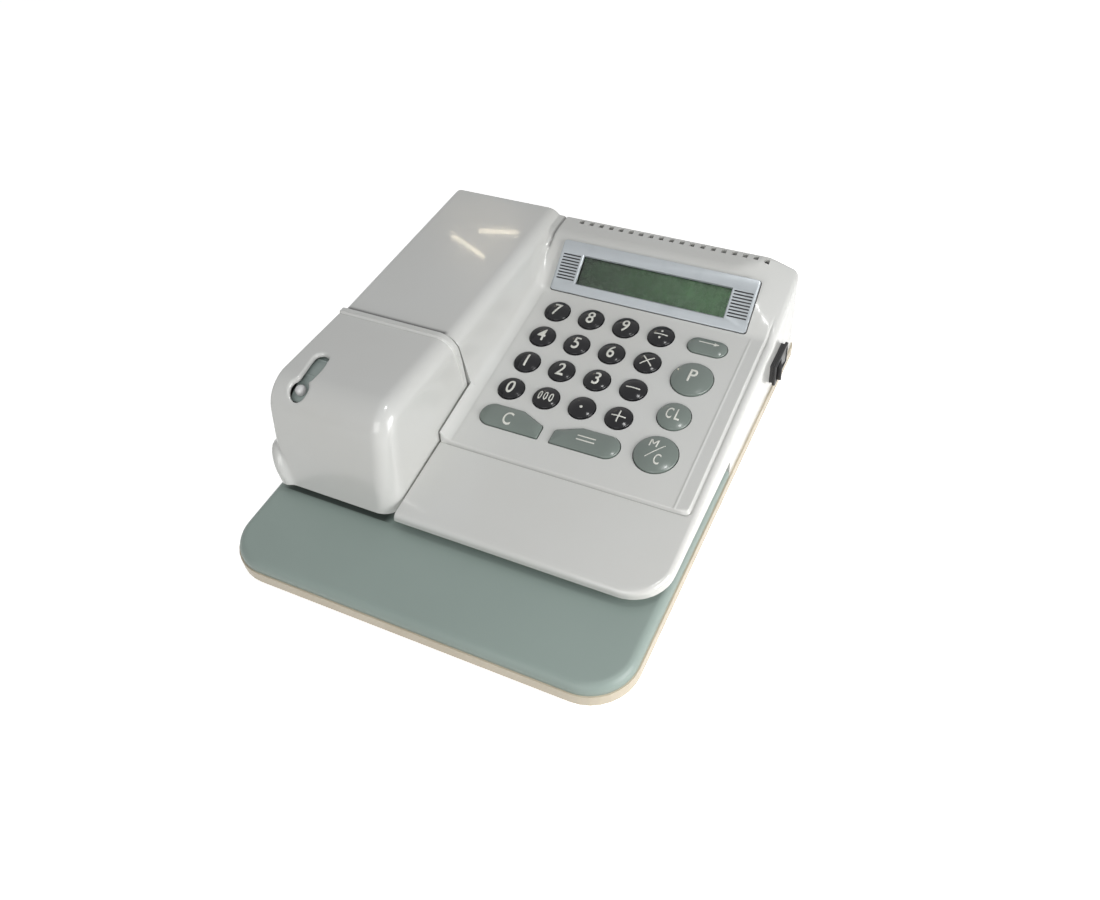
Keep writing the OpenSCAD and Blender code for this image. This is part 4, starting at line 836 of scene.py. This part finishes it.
def makeCase():
    s = caseShape
    case = addSolid("upperCaseSkin", makeCaseSkin(), "machine", "shellWhite", ["upper_case"], "case_white")
    solidShell(case, s["wall"])
    cutters = [prism([(k.x + x, k.y + y) for x, y in keyOutline(k, s["keyGap"])], -6, 6, onPanel) for k in keySet]
    cutters.append(prism(boxOutline(*s["displayHole"]), -5, 5, onDisplay))
    for i in range(s["vents"]):
        x = s["ventX"] + i * s["ventSpan"] / (s["vents"] - 1)
        slit = boxOutline(x - s["ventHalf"], s["ventY"][0], x + s["ventHalf"], s["ventY"][1])
        cutters.append(prism(slit, slopes["deckZ"] - s["ventDepth"], slopes["deckZ"] + 4))
    cutters.append(prism(circleOutline(*s["plug"], 32), *s["plugWall"], alongY))
    cutters.append(prism(boxAround(*s["switchHole"]), *s["switchWall"], alongX))
    cutWith(case, cutters)
    smoothByAngle(case.data, 38)


makeCase()
print("upper case made")

# roller cover
coverShape = {
    "left": 3.2, "footRight": 70.0, "lean": 0.0684, "footZ": 17.9, "footY": 45.2,
    "frontLean": 16.1, "browRadius": 17.0, "topZ": 67.22, "topY": 74.0, "topFall": 0.052, "rear": 121.2,
    "rightRadius": (10.0, 9.0), "leftRadius": (6.0, 1.6), "wall": 1.9,      # radii in front and at the rear
    "bandY": 117.6, "bandHeight": 0.9, "bandFade": (30.0, 52.0), "bandGroove": 0.18,
    "wellX": 17.1, "wellY": 64.5, "wellRadius": 4.7, "channelEnd": 84.0, "channelY": (64.5, 68.5, 72.5, 78.0, 84.0),
    "channelX": (17.1, 17.7, 17.75, 17.3, 16.3), "channelHalf": (2.9, 2.9, 3.3, 3.65, 3.5),
    # the keyhole's flared lip: how far it grows and how deep, from the surface inwards
    "flare": ((1.5, -0.1), (0.95, 0.1), (0.5, 0.45), (0.2, 0.95), (0.0, 1.6)),
    "gripZ": 37.6, "gripSwell": 3.2, "gripCrease": 0.6,
    # rows behind steadyY stand upright; points over the top, round each edge and down each wall
    "steadyY": 100.0, "flatCount": 46, "arcCount": 12, "wallCount": 14, "frontRows": 34, "browRows": 29,
    "middle": (35.0, 85.0, 35.0),       # a place inside, which every face looks away from
}


def coverProfile():
    # points (y, z, ny, nz) along the front, over the brow and back along the top
    s = coverShape
    lean, fall, r = math.radians(s["frontLean"]), math.atan(s["topFall"]), s["browRadius"]
    front, top = (-math.cos(lean), math.sin(lean)), (math.sin(fall), math.cos(fall))
    # brow centre: r inside both the front line and the top line
    onLines = np.array([front[0] * s["footY"] + front[1] * s["footZ"], top[0] * s["topY"] + top[1] * s["topZ"]])
    cy, cz = np.linalg.solve(np.array([front, top]), onLines - r)
    endY, endZ = cy + r * front[0], cz + r * front[1]
    rows = [(s["footY"] + (endY - s["footY"]) * t, s["footZ"] + (endZ - s["footZ"]) * t, *front)
            for t in np.linspace(0, 1, s["frontRows"])]
    start, end = math.atan2(front[1], front[0]), math.atan2(top[1], top[0])
    for t in np.linspace(0, 1, s["browRows"])[1:]:
        w = start + (end - start) * t
        rows.append((cy + r * math.cos(w), cz + r * math.sin(w), math.cos(w), math.sin(w)))
    ys = linesFor(cy + r * top[0], s["rear"], 1.6, [(s["bandY"], 1.0, 0.15), (s["rear"], 1.2, 0.2)])[1:]
    return rows + [(y, s["topZ"] - (y - s["topY"]) * s["topFall"], *top) for y in ys]


def between(a, b, t):
    # turns the unit vector a towards b
    w = math.acos(max(-1, min(1, float(a @ b))))
    return (a * math.sin((1 - t) * w) + b * math.sin(t * w)) / math.sin(w)


def coverGrid():
    # plain skin: a row of points for each point of the profile, from the left foot over the top to the right foot
    s = coverShape
    profile = coverProfile()
    arc = [0.0]
    for a, b in zip(profile, profile[1:]):
        arc.append(arc[-1] + math.hypot(b[0] - a[0], b[1] - a[1]))
    lean = math.atan(s["lean"])
    outwards = {"left": np.array([-1.0, 0, 0]), "right": np.array([math.cos(lean), 0, math.sin(lean)])}
    steadyArc = next(a for a, p in zip(arc, profile) if p[0] >= s["steadyY"])
    rows = []
    for (y, z, ny, nz), at in zip(profile, arc):
        n = np.array([0, ny, nz])
        f = smoothStep(np.array(at / (arc[-1] * 0.45))).item()
        steady = y >= s["steadyY"] and at >= steadyArc
        sides = {}
        for side, footX in (("left", s["left"]), ("right", s["footRight"])):
            large, small = s[side + "Radius"]
            r = large + (small - large) * f
            centre = np.array([0, y, z]) - r * n
            if side == "left":
                centre[0] = s["left"] + r
            else:
                centre[0] = s["footRight"] - (centre[2] - s["footZ"]) * s["lean"] - r / math.cos(lean)
            part = [centre + r * between(n, outwards[side], t) for t in np.linspace(0, 1, s["arcCount"] + 1)]
            # place on the foot line that this row's wall runs down to
            startY = s["footY"] + large
            footY = y if steady else startY + (s["steadyY"] - startY) * min(1, at / steadyArc)
            end, foot = part[-1], np.array([footX, footY, s["footZ"]])
            part += [end + (foot - end) * t for t in np.linspace(0, 1, s["wallCount"] + 1)[1:]]
            sides[side] = part
        left, right = sides["left"][::-1], sides["right"]
        a, b = left[-1], right[0]
        rows.append(left + [a + (b - a) * t for t in np.linspace(0, 1, s["flatCount"] + 1)[1:-1]] + right)
    return np.array(rows)


def makeCoverSkin():
    s = coverShape
    grid = coverGrid()
    # nothing dips under the foot line
    grid[:, :, 2] = np.maximum(grid[:, :, 2], s["footZ"])
    normal = np.cross(np.gradient(grid, axis=1), np.gradient(grid, axis=0))
    normal /= np.linalg.norm(normal, axis=2, keepdims=True) + 1e-9
    normal *= np.sign(np.sum(normal * (grid - np.array(s["middle"])), axis=2, keepdims=True))
    x, y, z = grid[:, :, 0], grid[:, :, 1], grid[:, :, 2]
    # raised band at the rear edge, fading down the right wall
    low, high = s["bandFade"]
    band = smoothStep((y - s["bandY"]) / 0.5) * (1 - 0.35 * smoothStep((y - s["rear"] + 0.5) / 0.5))
    band *= smoothStep((z - low) / (high - low)) * smoothStep((x - s["left"] - 0.2) / 0.8)
    groove = s["bandGroove"] * ridge(y - s["bandY"] + 0.35, 0.3) * smoothStep((z - 50) / 10)
    grid = grid + normal * (band * s["bandHeight"] - groove)[:, :, None]
    # finger grip low on the left: a swelling under a curved crease
    inward = np.clip(x - s["left"], 0, 30)
    below = s["gripZ"] - 1.0 * inward - 0.05 * inward ** 2 - z
    reach = (1 - smoothStep((x - 4.5) / 13)) * (1 - smoothStep((y - 66) / 22))
    swell = s["gripSwell"] * smoothStep((below + 0.3) / (4 + 0.9 * inward)) * (1 - 0.9 * smoothStep((below - 8) / 12))
    swell -= s["gripCrease"] * ridge(below + 0.5, 0.8) * (1 - smoothStep((inward - 3) / 5))
    grid = grid + normal * (swell * reach)[:, :, None]
    grid[:, :, 2] = np.maximum(grid[:, :, 2], s["footZ"])
    return grid.reshape(-1, 3).tolist(), gridFaces(*grid.shape[:2])


def keyholeOutline(grow, steps=28):
    # round well in front, channel behind it that widens and bends to the left
    s = coverShape
    well = s["wellRadius"] + grow
    half = math.asin(min(1, (s["channelHalf"][1] + grow) / well))
    angles = [math.pi / 2 + half + (2 * math.pi - 2 * half) * i / steps for i in range(steps + 1)]
    outline = [(s["wellX"] + well * math.cos(a), s["wellY"] + well * math.sin(a)) for a in angles]
    start, end = s["wellY"] + well * math.cos(half), s["channelEnd"]
    fitX, fitHalf = (np.polynomial.Polynomial.fit(s["channelY"], s[k], 3) for k in ("channelX", "channelHalf"))
    ys = np.linspace(start, end, 12)[1:]
    outline += [(float(fitX(y) + fitHalf(y) + grow), y) for y in ys]
    wide = float(fitHalf(end)) + grow
    outline += [(float(fitX(end)) + wide * math.cos(a), end + wide * math.sin(a))
                for a in np.linspace(0, math.pi, 17)[1:-1]]
    return outline + [(float(fitX(y) - fitHalf(y) - grow), y) for y in ys[::-1]]


def keyholeCutter():
    # the flare, and straight walls above and below it, following the cover's height
    profile = coverProfile()
    flare = coverShape["flare"]
    levels = [(flare[0][0], -6), *flare, (flare[-1][0], 7)]
    rings = []
    for grow, depth in levels:
        outline = keyholeOutline(grow)
        heights = np.interp([y for x, y in outline], [p[0] for p in profile], [p[1] for p in profile])
        rings.append([(x, y, float(z) - depth) for (x, y), z in zip(outline, heights)])
    return loft(rings[::-1])


def makeCover():
    cover = addSolid("rollerCoverShell", makeCoverSkin(), "cover", "caseWhite", ["roller_cover"], "case_white")
    solidShell(cover, coverShape["wall"])
    cutWith(cover, [keyholeCutter()])
    smoothByAngle(cover.data, 40)


makeCover()
print("cover made")

# keys
keyShape = {"rim": 1.0, "dome": 1.15, "bottom": -3.4, "edge": 0.6, "flange": 0.9, "flangeTop": -2.8, "power": 2.3,
            "wideDome": 1.15, "longDome": 0.75, "arcRows": 6, "domeRows": 16, "spacing": 0.7}


def keyCrown(key):
    # half width, half length of the straight middle, rise of the crown, and the share where its round edge starts
    s = keyShape
    half = key.wide / 2
    rise = s["dome"] * (s["wideDome"] if half > 8 else 1.0) * (s["longDome"] if key.shape != "round" else 1.0)
    return half, max(key.long / 2 - half, 0), rise, 1 - s["edge"] / half


def crownHeight(key, x, y):
    # height of the key's crown over the panel at (x, y) measured from the key's middle
    half, reach, rise, inner = keyCrown(key)
    t = np.hypot(x - np.clip(x, -reach, reach), y) / half
    return keyShape["rim"] + rise * (1 - np.clip(t / inner, 0, 1) ** keyShape["power"])


def keySolid(key):
    s = keyShape
    half, reach, rise, inner = keyCrown(key)
    outline = np.array(keyOutline(key, 0, 64))
    if key.shape != "round":
        dense = []
        for a, b in zip(outline, np.roll(outline, -1, axis=0)):
            n = max(1, int(np.linalg.norm(b - a) / s["spacing"]))
            dense += [a + (b - a) * k / n for k in range(n)]
        outline = np.array(dense)
    spine = np.stack([np.clip(outline[:, 0], -reach, reach), np.zeros(len(outline))], axis=1)
    # levels: share of the way out from the spine, and height
    e, rim, flange = s["edge"], s["rim"], 1 + s["flange"] / half
    levels = [(flange, s["bottom"]), (flange, s["flangeTop"]), (1, s["flangeTop"]), (1, rim - e)]
    levels += [(1 - e * (1 - math.cos(w)) / half, rim - e + e * math.sin(w))
               for w in np.linspace(0, math.pi / 2, s["arcRows"])[1:]]
    levels += [(t, rim + rise * (1 - (t / inner) ** s["power"])) for t in np.linspace(inner, 0.04, s["domeRows"])[1:]]
    rings = [[onPanel((key.x + x, key.y + y, z)) for x, y in spine + (outline - spine) * t] for t, z in levels]
    return loft(rings)


legendSet = {
    "digitHeight": 7.5, "digitSqueeze": 0.84, "line": 0.68, "lift": 0.035, "thickness": 0.05, "cell": 0.55,
    "slash": 0.45, "shaft": 0.55, "dot": 0.62, "point": 0.75, "weight": 0.01,
}


def glyphShape(text, height, squeeze, dx=0.0, dy=0.0):
    # the built-in typeface as flat triangles around (dx, dy), its height given in millimetres
    curve = bpy.data.curves.new("glyph", "FONT")
    curve.body = text
    curve.align_x = "CENTER"
    curve.resolution_u = 6
    curve.offset = legendSet["weight"]
    holder = newObject("glyph", curve)
    mesh = bakedMesh(holder)
    bpy.data.objects.remove(holder)
    bpy.data.curves.remove(curve)
    points = np.array([v.co[:2] for v in mesh.vertices])
    faces = [tuple(p.vertices) for p in mesh.polygons]
    bpy.data.meshes.remove(mesh)
    low, high = points.min(0), points.max(0)
    scale = height / (high[1] - low[1])
    points = (points - (low + high) / 2) * (scale * squeeze, scale) + (dx, dy)
    return points.tolist(), faces


def bar(x0, y0, x1, y1, width=legendSet["line"]):
    a, b = np.array([x0, y0]), np.array([x1, y1])
    n = np.array([y0 - y1, x1 - x0]) / np.linalg.norm(b - a) * width / 2
    return [tuple(a - n), tuple(b - n), tuple(b + n), tuple(a + n)], [(0, 1, 2, 3)]


def dot(x, y, r=legendSet["dot"]):
    return circleOutline(x, y, r, 20), [tuple(range(20))]


def legendShapes(mark):
    s = legendSet
    if len(mark) == 1 and mark.isdigit():
        return [glyphShape(mark, s["digitHeight"], s["digitSqueeze"])]
    return {
        "000": lambda: [glyphShape("0", 5.0, 0.62, dx) for dx in (-2.9, 0, 2.9)],
        "divide": lambda: [bar(-3.6, 0, 3.6, 0), dot(0, 2.1), dot(0, -2.1)],
        "times": lambda: [bar(-2.9, -2.7, 2.9, 2.7), bar(-2.9, 2.7, 2.9, -2.7)],
        "minus": lambda: [bar(-3.6, 0, 3.6, 0)],
        "plus": lambda: [bar(-3.6, 0, 3.6, 0), bar(0, -3.4, 0, 3.4)],
        "point": lambda: [dot(0, -0.6, s["point"])],
        "equals": lambda: [bar(-4.6, y, 4.6, y) for y in (1.1, -1.1)],
        "arrow": lambda: [bar(-4.8, 1.6, 3.6, 1.6, s["shaft"]), ([(3.0, 0.4), (5.6, 1.6), (3.0, 2.8)], [(0, 1, 2)])],
        "C": lambda: [glyphShape("C", 7.4, 0.70, -1.4, -0.6)],
        "P": lambda: [glyphShape("P", 7.7, 0.78, 0.1, 0.9)],
        "CL": lambda: [glyphShape("C", 6.4, 0.56, -2.3, 0.4), glyphShape("L", 6.4, 0.64, 2.0, 0.4)],
        # an M of four bars, a slash and a C
        "M/C": lambda: [bar(-4.3, 2.7, -4.3, 7.0), bar(-0.9, 2.7, -0.9, 7.0), bar(-4.2, 6.9, -2.6, 4.2),
                        bar(-2.6, 4.2, -1.0, 6.9), bar(-4.0, -3.6, 3.0, 4.8, s["slash"]),
                        glyphShape("C", 5.6, 0.60, 1.9, -3.3)],
    }[mark]()


def makeLegend(key):
    s = legendSet
    work = bmesh.new()
    for points, faces in legendShapes(key.mark):
        verts = [work.verts.new((x, y, 0)) for x, y in points]
        for f in faces:
            try:
                work.faces.new([verts[i] for i in f])
            except ValueError:
                continue
    # cut into small cells so that the flat figure can follow the crown
    for axis in (0, 1):
        values = [v.co[axis] for v in work.verts]
        at = math.floor(min(values) / s["cell"]) * s["cell"] + 0.013
        while at < max(values):
            across = Vector((1 - axis, axis, 0))
            bmesh.ops.bisect_plane(work, geom=work.verts[:] + work.edges[:] + work.faces[:],
                                   plane_co=across * at, plane_no=across, dist=1e-6)
            at += s["cell"]
    for f in work.faces:
        if f.normal.z < 0:
            f.normal_flip()
    for v in work.verts:
        x, y = v.co.x, v.co.y
        v.co = Vector(toFrame(*onPanel((key.x + x, key.y + y, float(crownHeight(key, x, y)) + s["lift"]))))
    mesh = bpy.data.meshes.new(key.node + "Legend")
    work.to_mesh(mesh)
    work.free()
    legend = addObject(key.node + "Legend", mesh, key.node, "legendWhite", smoothAngle=60)
    solidShell(legend, s["thickness"])


for key in keySet:
    finish, slot = "keyGrey", "key_grey_green"
    if key.shape == "round" and key.wide < 15:
        finish, slot = "keyBlack", "key_black"
    addSolid(key.node + "Cap", keySolid(key), key.node, finish, [key.node], slot, 50)
    makeLegend(key)
print("keys made")

# display
displaySet = {
    "width": 106.0, "low": 0.4, "high": 27.9, "thick": 1.5, "corner": 1.6, "bevel": 0.16,
    "windowX": 13.0, "windowY": 6.05, "windowWidth": 80.0, "windowHeight": 15.0, "reveal": 0.9,
    "grooves": 9, "grooveWidth": 0.75, "grooveDepth": 0.62, "grooveLow": 0.08, "grooveSpan": 0.87,
    # the last value is how far the dark strip of painted shade reaches out around the frame
    "grooveInset": (1.6, 1.5), "inlayGap": 0.02, "inlayTop": 0.32, "shadeRim": 0.35,
}


def makeBezel():
    s = displaySet
    plate = roundedOutline(boxOutline(0, s["low"], s["width"], s["high"]), [s["corner"]] * 4)
    bezel = addSolid("displayFrame", prism(plate, 0, s["thick"], onDisplay), "machine", "bezelSilver",
                     ["display_bezel"], "bezel_silver")
    # window opening with sloping reveals
    x0, y0, wide, high, e = (s[k] for k in ("windowX", "windowY", "windowWidth", "windowHeight", "reveal"))
    x1, y1 = x0 + wide, y0 + high
    inner, outer = boxOutline(x0, y0, x1, y1), boxOutline(x0 - e, y0 - e, x1 + e, y1 + e)
    levels = ((inner, -1), (inner, 0.5), (outer, s["thick"] + 0.4))
    cutters, inlays = [loft([[onDisplay((x, y, z)) for x, y in outline] for outline, z in levels])], []
    # grooves beside the window, each with a dark strip at its bottom
    half, floor, gap = s["grooveWidth"] / 2, s["thick"] - s["grooveDepth"], s["inlayGap"]
    edge, side = s["grooveInset"]
    for i in range(s["grooves"]):
        v = y0 + high * (s["grooveLow"] + s["grooveSpan"] * i / (s["grooves"] - 1))
        for u0, u1 in ((edge, x0 - side), (x1 + side, s["width"] - edge)):
            cutters.append(prism(boxOutline(u0, v - half, u1, v + half), floor, s["thick"] + 1, onDisplay))
            inlay = boxOutline(u0 + gap, v - half + gap, u1 - gap, v + half - gap)
            inlays.append(prism(inlay, floor - 0.05, s["thick"] - s["inlayTop"], onDisplay))
    cutWith(bezel, cutters)
    bevelEdges(bezel, s["bevel"], 2)
    bevelEdges(addSolid("displayFrameInlays", joined(inlays), "machine", "switchBlack"), 0.05, 1)


def makeShadeRim():
    # dark strip around the frame where it meets the case, standing in for the shade there: painted shade
    s = displaySet
    e = s["shadeRim"]
    outer = roundedOutline(boxOutline(-e, s["low"] - e, s["width"] + e, s["high"] + 0.2), [s["corner"]] * 4)
    shadeRim = addSolid("displayShadeRim", prism(outer, -0.3, 0.28, onDisplay), "machine", "rubberBlack")
    cutWith(shadeRim, [prism(boxOutline(4, 4, s["width"] - 4, s["high"] - 3.6), -2, 2, onDisplay)])
    bevelEdges(shadeRim, 0.08, 1)


makeBezel()
makeShadeRim()
print("display made")

# side switch
switchSet = {
    "y": 203.0, "z": 21.5, "length": 21.0, "height": 13.0, "flange": 1.6, "tilt": 9.0, "axis": 0.3,
    "well": (8.6, 4.8), "wellDepth": 5.6, "bodyDepth": 12, "tags": (-6, 0, 6), "tagLength": 5,
    # the rocker's side: half height of its face, half thickness, lowest face, rise to the ridges at its ends
    "rocker": (7.1, 4.5, 1.75, 1.2),
}


def makeSwitch():
    s = switchSet
    l, h = s["length"] / 2, s["height"] / 2
    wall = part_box("switch_housing")[1][0] * 1000 - layout["shiftX"] - s["flange"]

    def outwards(p):
        return p[2], s["y"] + p[0], s["z"] + p[1]

    flange = roundedOutline(boxAround(0, 0, l, h), [1.4] * 4)
    housing = addSolid("switchSurround", prism(flange, wall, wall + s["flange"], outwards), "machine", "switchBlack",
                       ["switch_housing"], "switch_black")
    bevelEdges(housing, 0.45, 3)
    well = boxAround(0, 0, *s["well"])
    cutWith(housing, [prism(well, wall - 2, wall + 4, outwards)])
    back = wall - s["bodyDepth"]
    body = roundedOutline(boxAround(0, 0, l - 1, h - 1), [0.6] * 4)
    box = addSolid("switchBody", prism(body, back, wall - 0.01, outwards), "machine", "switchBlack", (), "switch_black")
    cutWith(box, [prism(well, wall - s["wellDepth"], wall + 2, outwards)])
    bevelEdges(box, 0.2, 2)
    for i, y in enumerate(s["tags"]):
        tag = roundedOutline(boxAround(y, 0, 0.4, 2.4), [0.3] * 4)
        tag = prism(tag, back - s["tagLength"], back - 0.01, outwards)
        bevelEdges(addSolid("switchTag" + str(i), tag, "machine", "plateSteel"), 0.1, 1)
    # rocker with a hollow middle and finger ridges
    turn = math.radians(s["tilt"])
    reach, half, low, rise = s["rocker"]
    profile = [(-3, -6.2), (2.6, -7.7), (low + rise, -reach)]
    profile += [(low + rise * (t / reach) ** 2, t) for t in np.linspace(-6.8, 6.8, 25)]
    profile += [(low + rise, reach), (2.6, 7.7), (-3, 6.2)]

    def tilted(p):
        x, y = p[0] * math.cos(turn) - p[1] * math.sin(turn), p[0] * math.sin(turn) + p[1] * math.cos(turn)
        return wall - s["axis"] + x, s["y"] + y, s["z"] + p[2]

    rocker = addSolid("switchRocker", prism(profile, -half, half, tilted), "rocker", "switchBlack",
                      ["switch_rocker"], "switch_black")
    bevelEdges(rocker, 0.3, 3, 30)


makeSwitch()
print("switch made")

# dust shutter under the lever's channel
shutterSet = {
    "pivotY": 79.7, "pivotZ": 26.0, "inner": 37.0, "outer": 37.9, "from": 119.0, "to": 70.0,
    "left": 12.2, "right": 21.6, "ribs": (77.0, 80.5, 97.0), "ribRise": 0.35, "ribWidth": 0.55,
}


def makeShutter():
    s = shutterSet
    angles = np.linspace(s["from"], s["to"], 99)
    ribs = sum(ridge(angles - a, s["ribWidth"]) for a in s["ribs"])
    ring = [(s["outer"] + s["ribRise"] * rib, a) for rib, a in zip(ribs, angles)]
    ring += [(s["inner"], a) for a in angles[::-1]]
    profile = [(s["pivotY"] + r * math.cos(math.radians(a)), s["pivotZ"] + r * math.sin(math.radians(a)))
               for r, a in ring]
    shutter = addSolid("leverShutter", prism(profile, s["left"], s["right"], alongX), "lever", "leverGrey",
                       (), "lever_grey")
    bevelEdges(shutter, 0.15, 2, 60)


makeShutter()
print("shutter made")

# finishes of the pieces that keep the drawn shape
finishOf = {
    # table_plate takes the table's material with the painted shadow under the roller cover
    "baseCream": "base_tray battery_door", "tableShadowUnderCover": "table_plate", "screwZinc": "case_screws",
    "rubberBlack": "rubber_feet pinch_rollers feed_rollers", "cellJacket": "battery_cells", "switchBlack": "power_jack",
    "plateSteel": "battery_contacts print_frame hammer_arm pinch_bar", "roofGrey": "throat_roof",
    "matRubber": "key_mat", "boardGreen": "circuit_board", "windowGlass": "display_window",
    "displayGreen": "display_module", "motorSteel": "feed_motor print_motor", "coilCopper": "hammer_solenoid",
    "shaftSteel": "solenoid_plunger hinge_pin feed_shaft type_shaft", "leverGrey": "release_lever",
    "knobWhite": "lever_knob", "gearNylon": "feed_gear feed_pinion idler_gear print_pinion", "typeIron": "type_wheel",
    "inkFelt": "ink_roller",
}
for finish, names in finishOf.items():
    for name in names.split():
        for place in nodes[name].material_slots:
            place.material = finishes[finish]
print("finishes given to the drawn pieces")

print("pieces done")
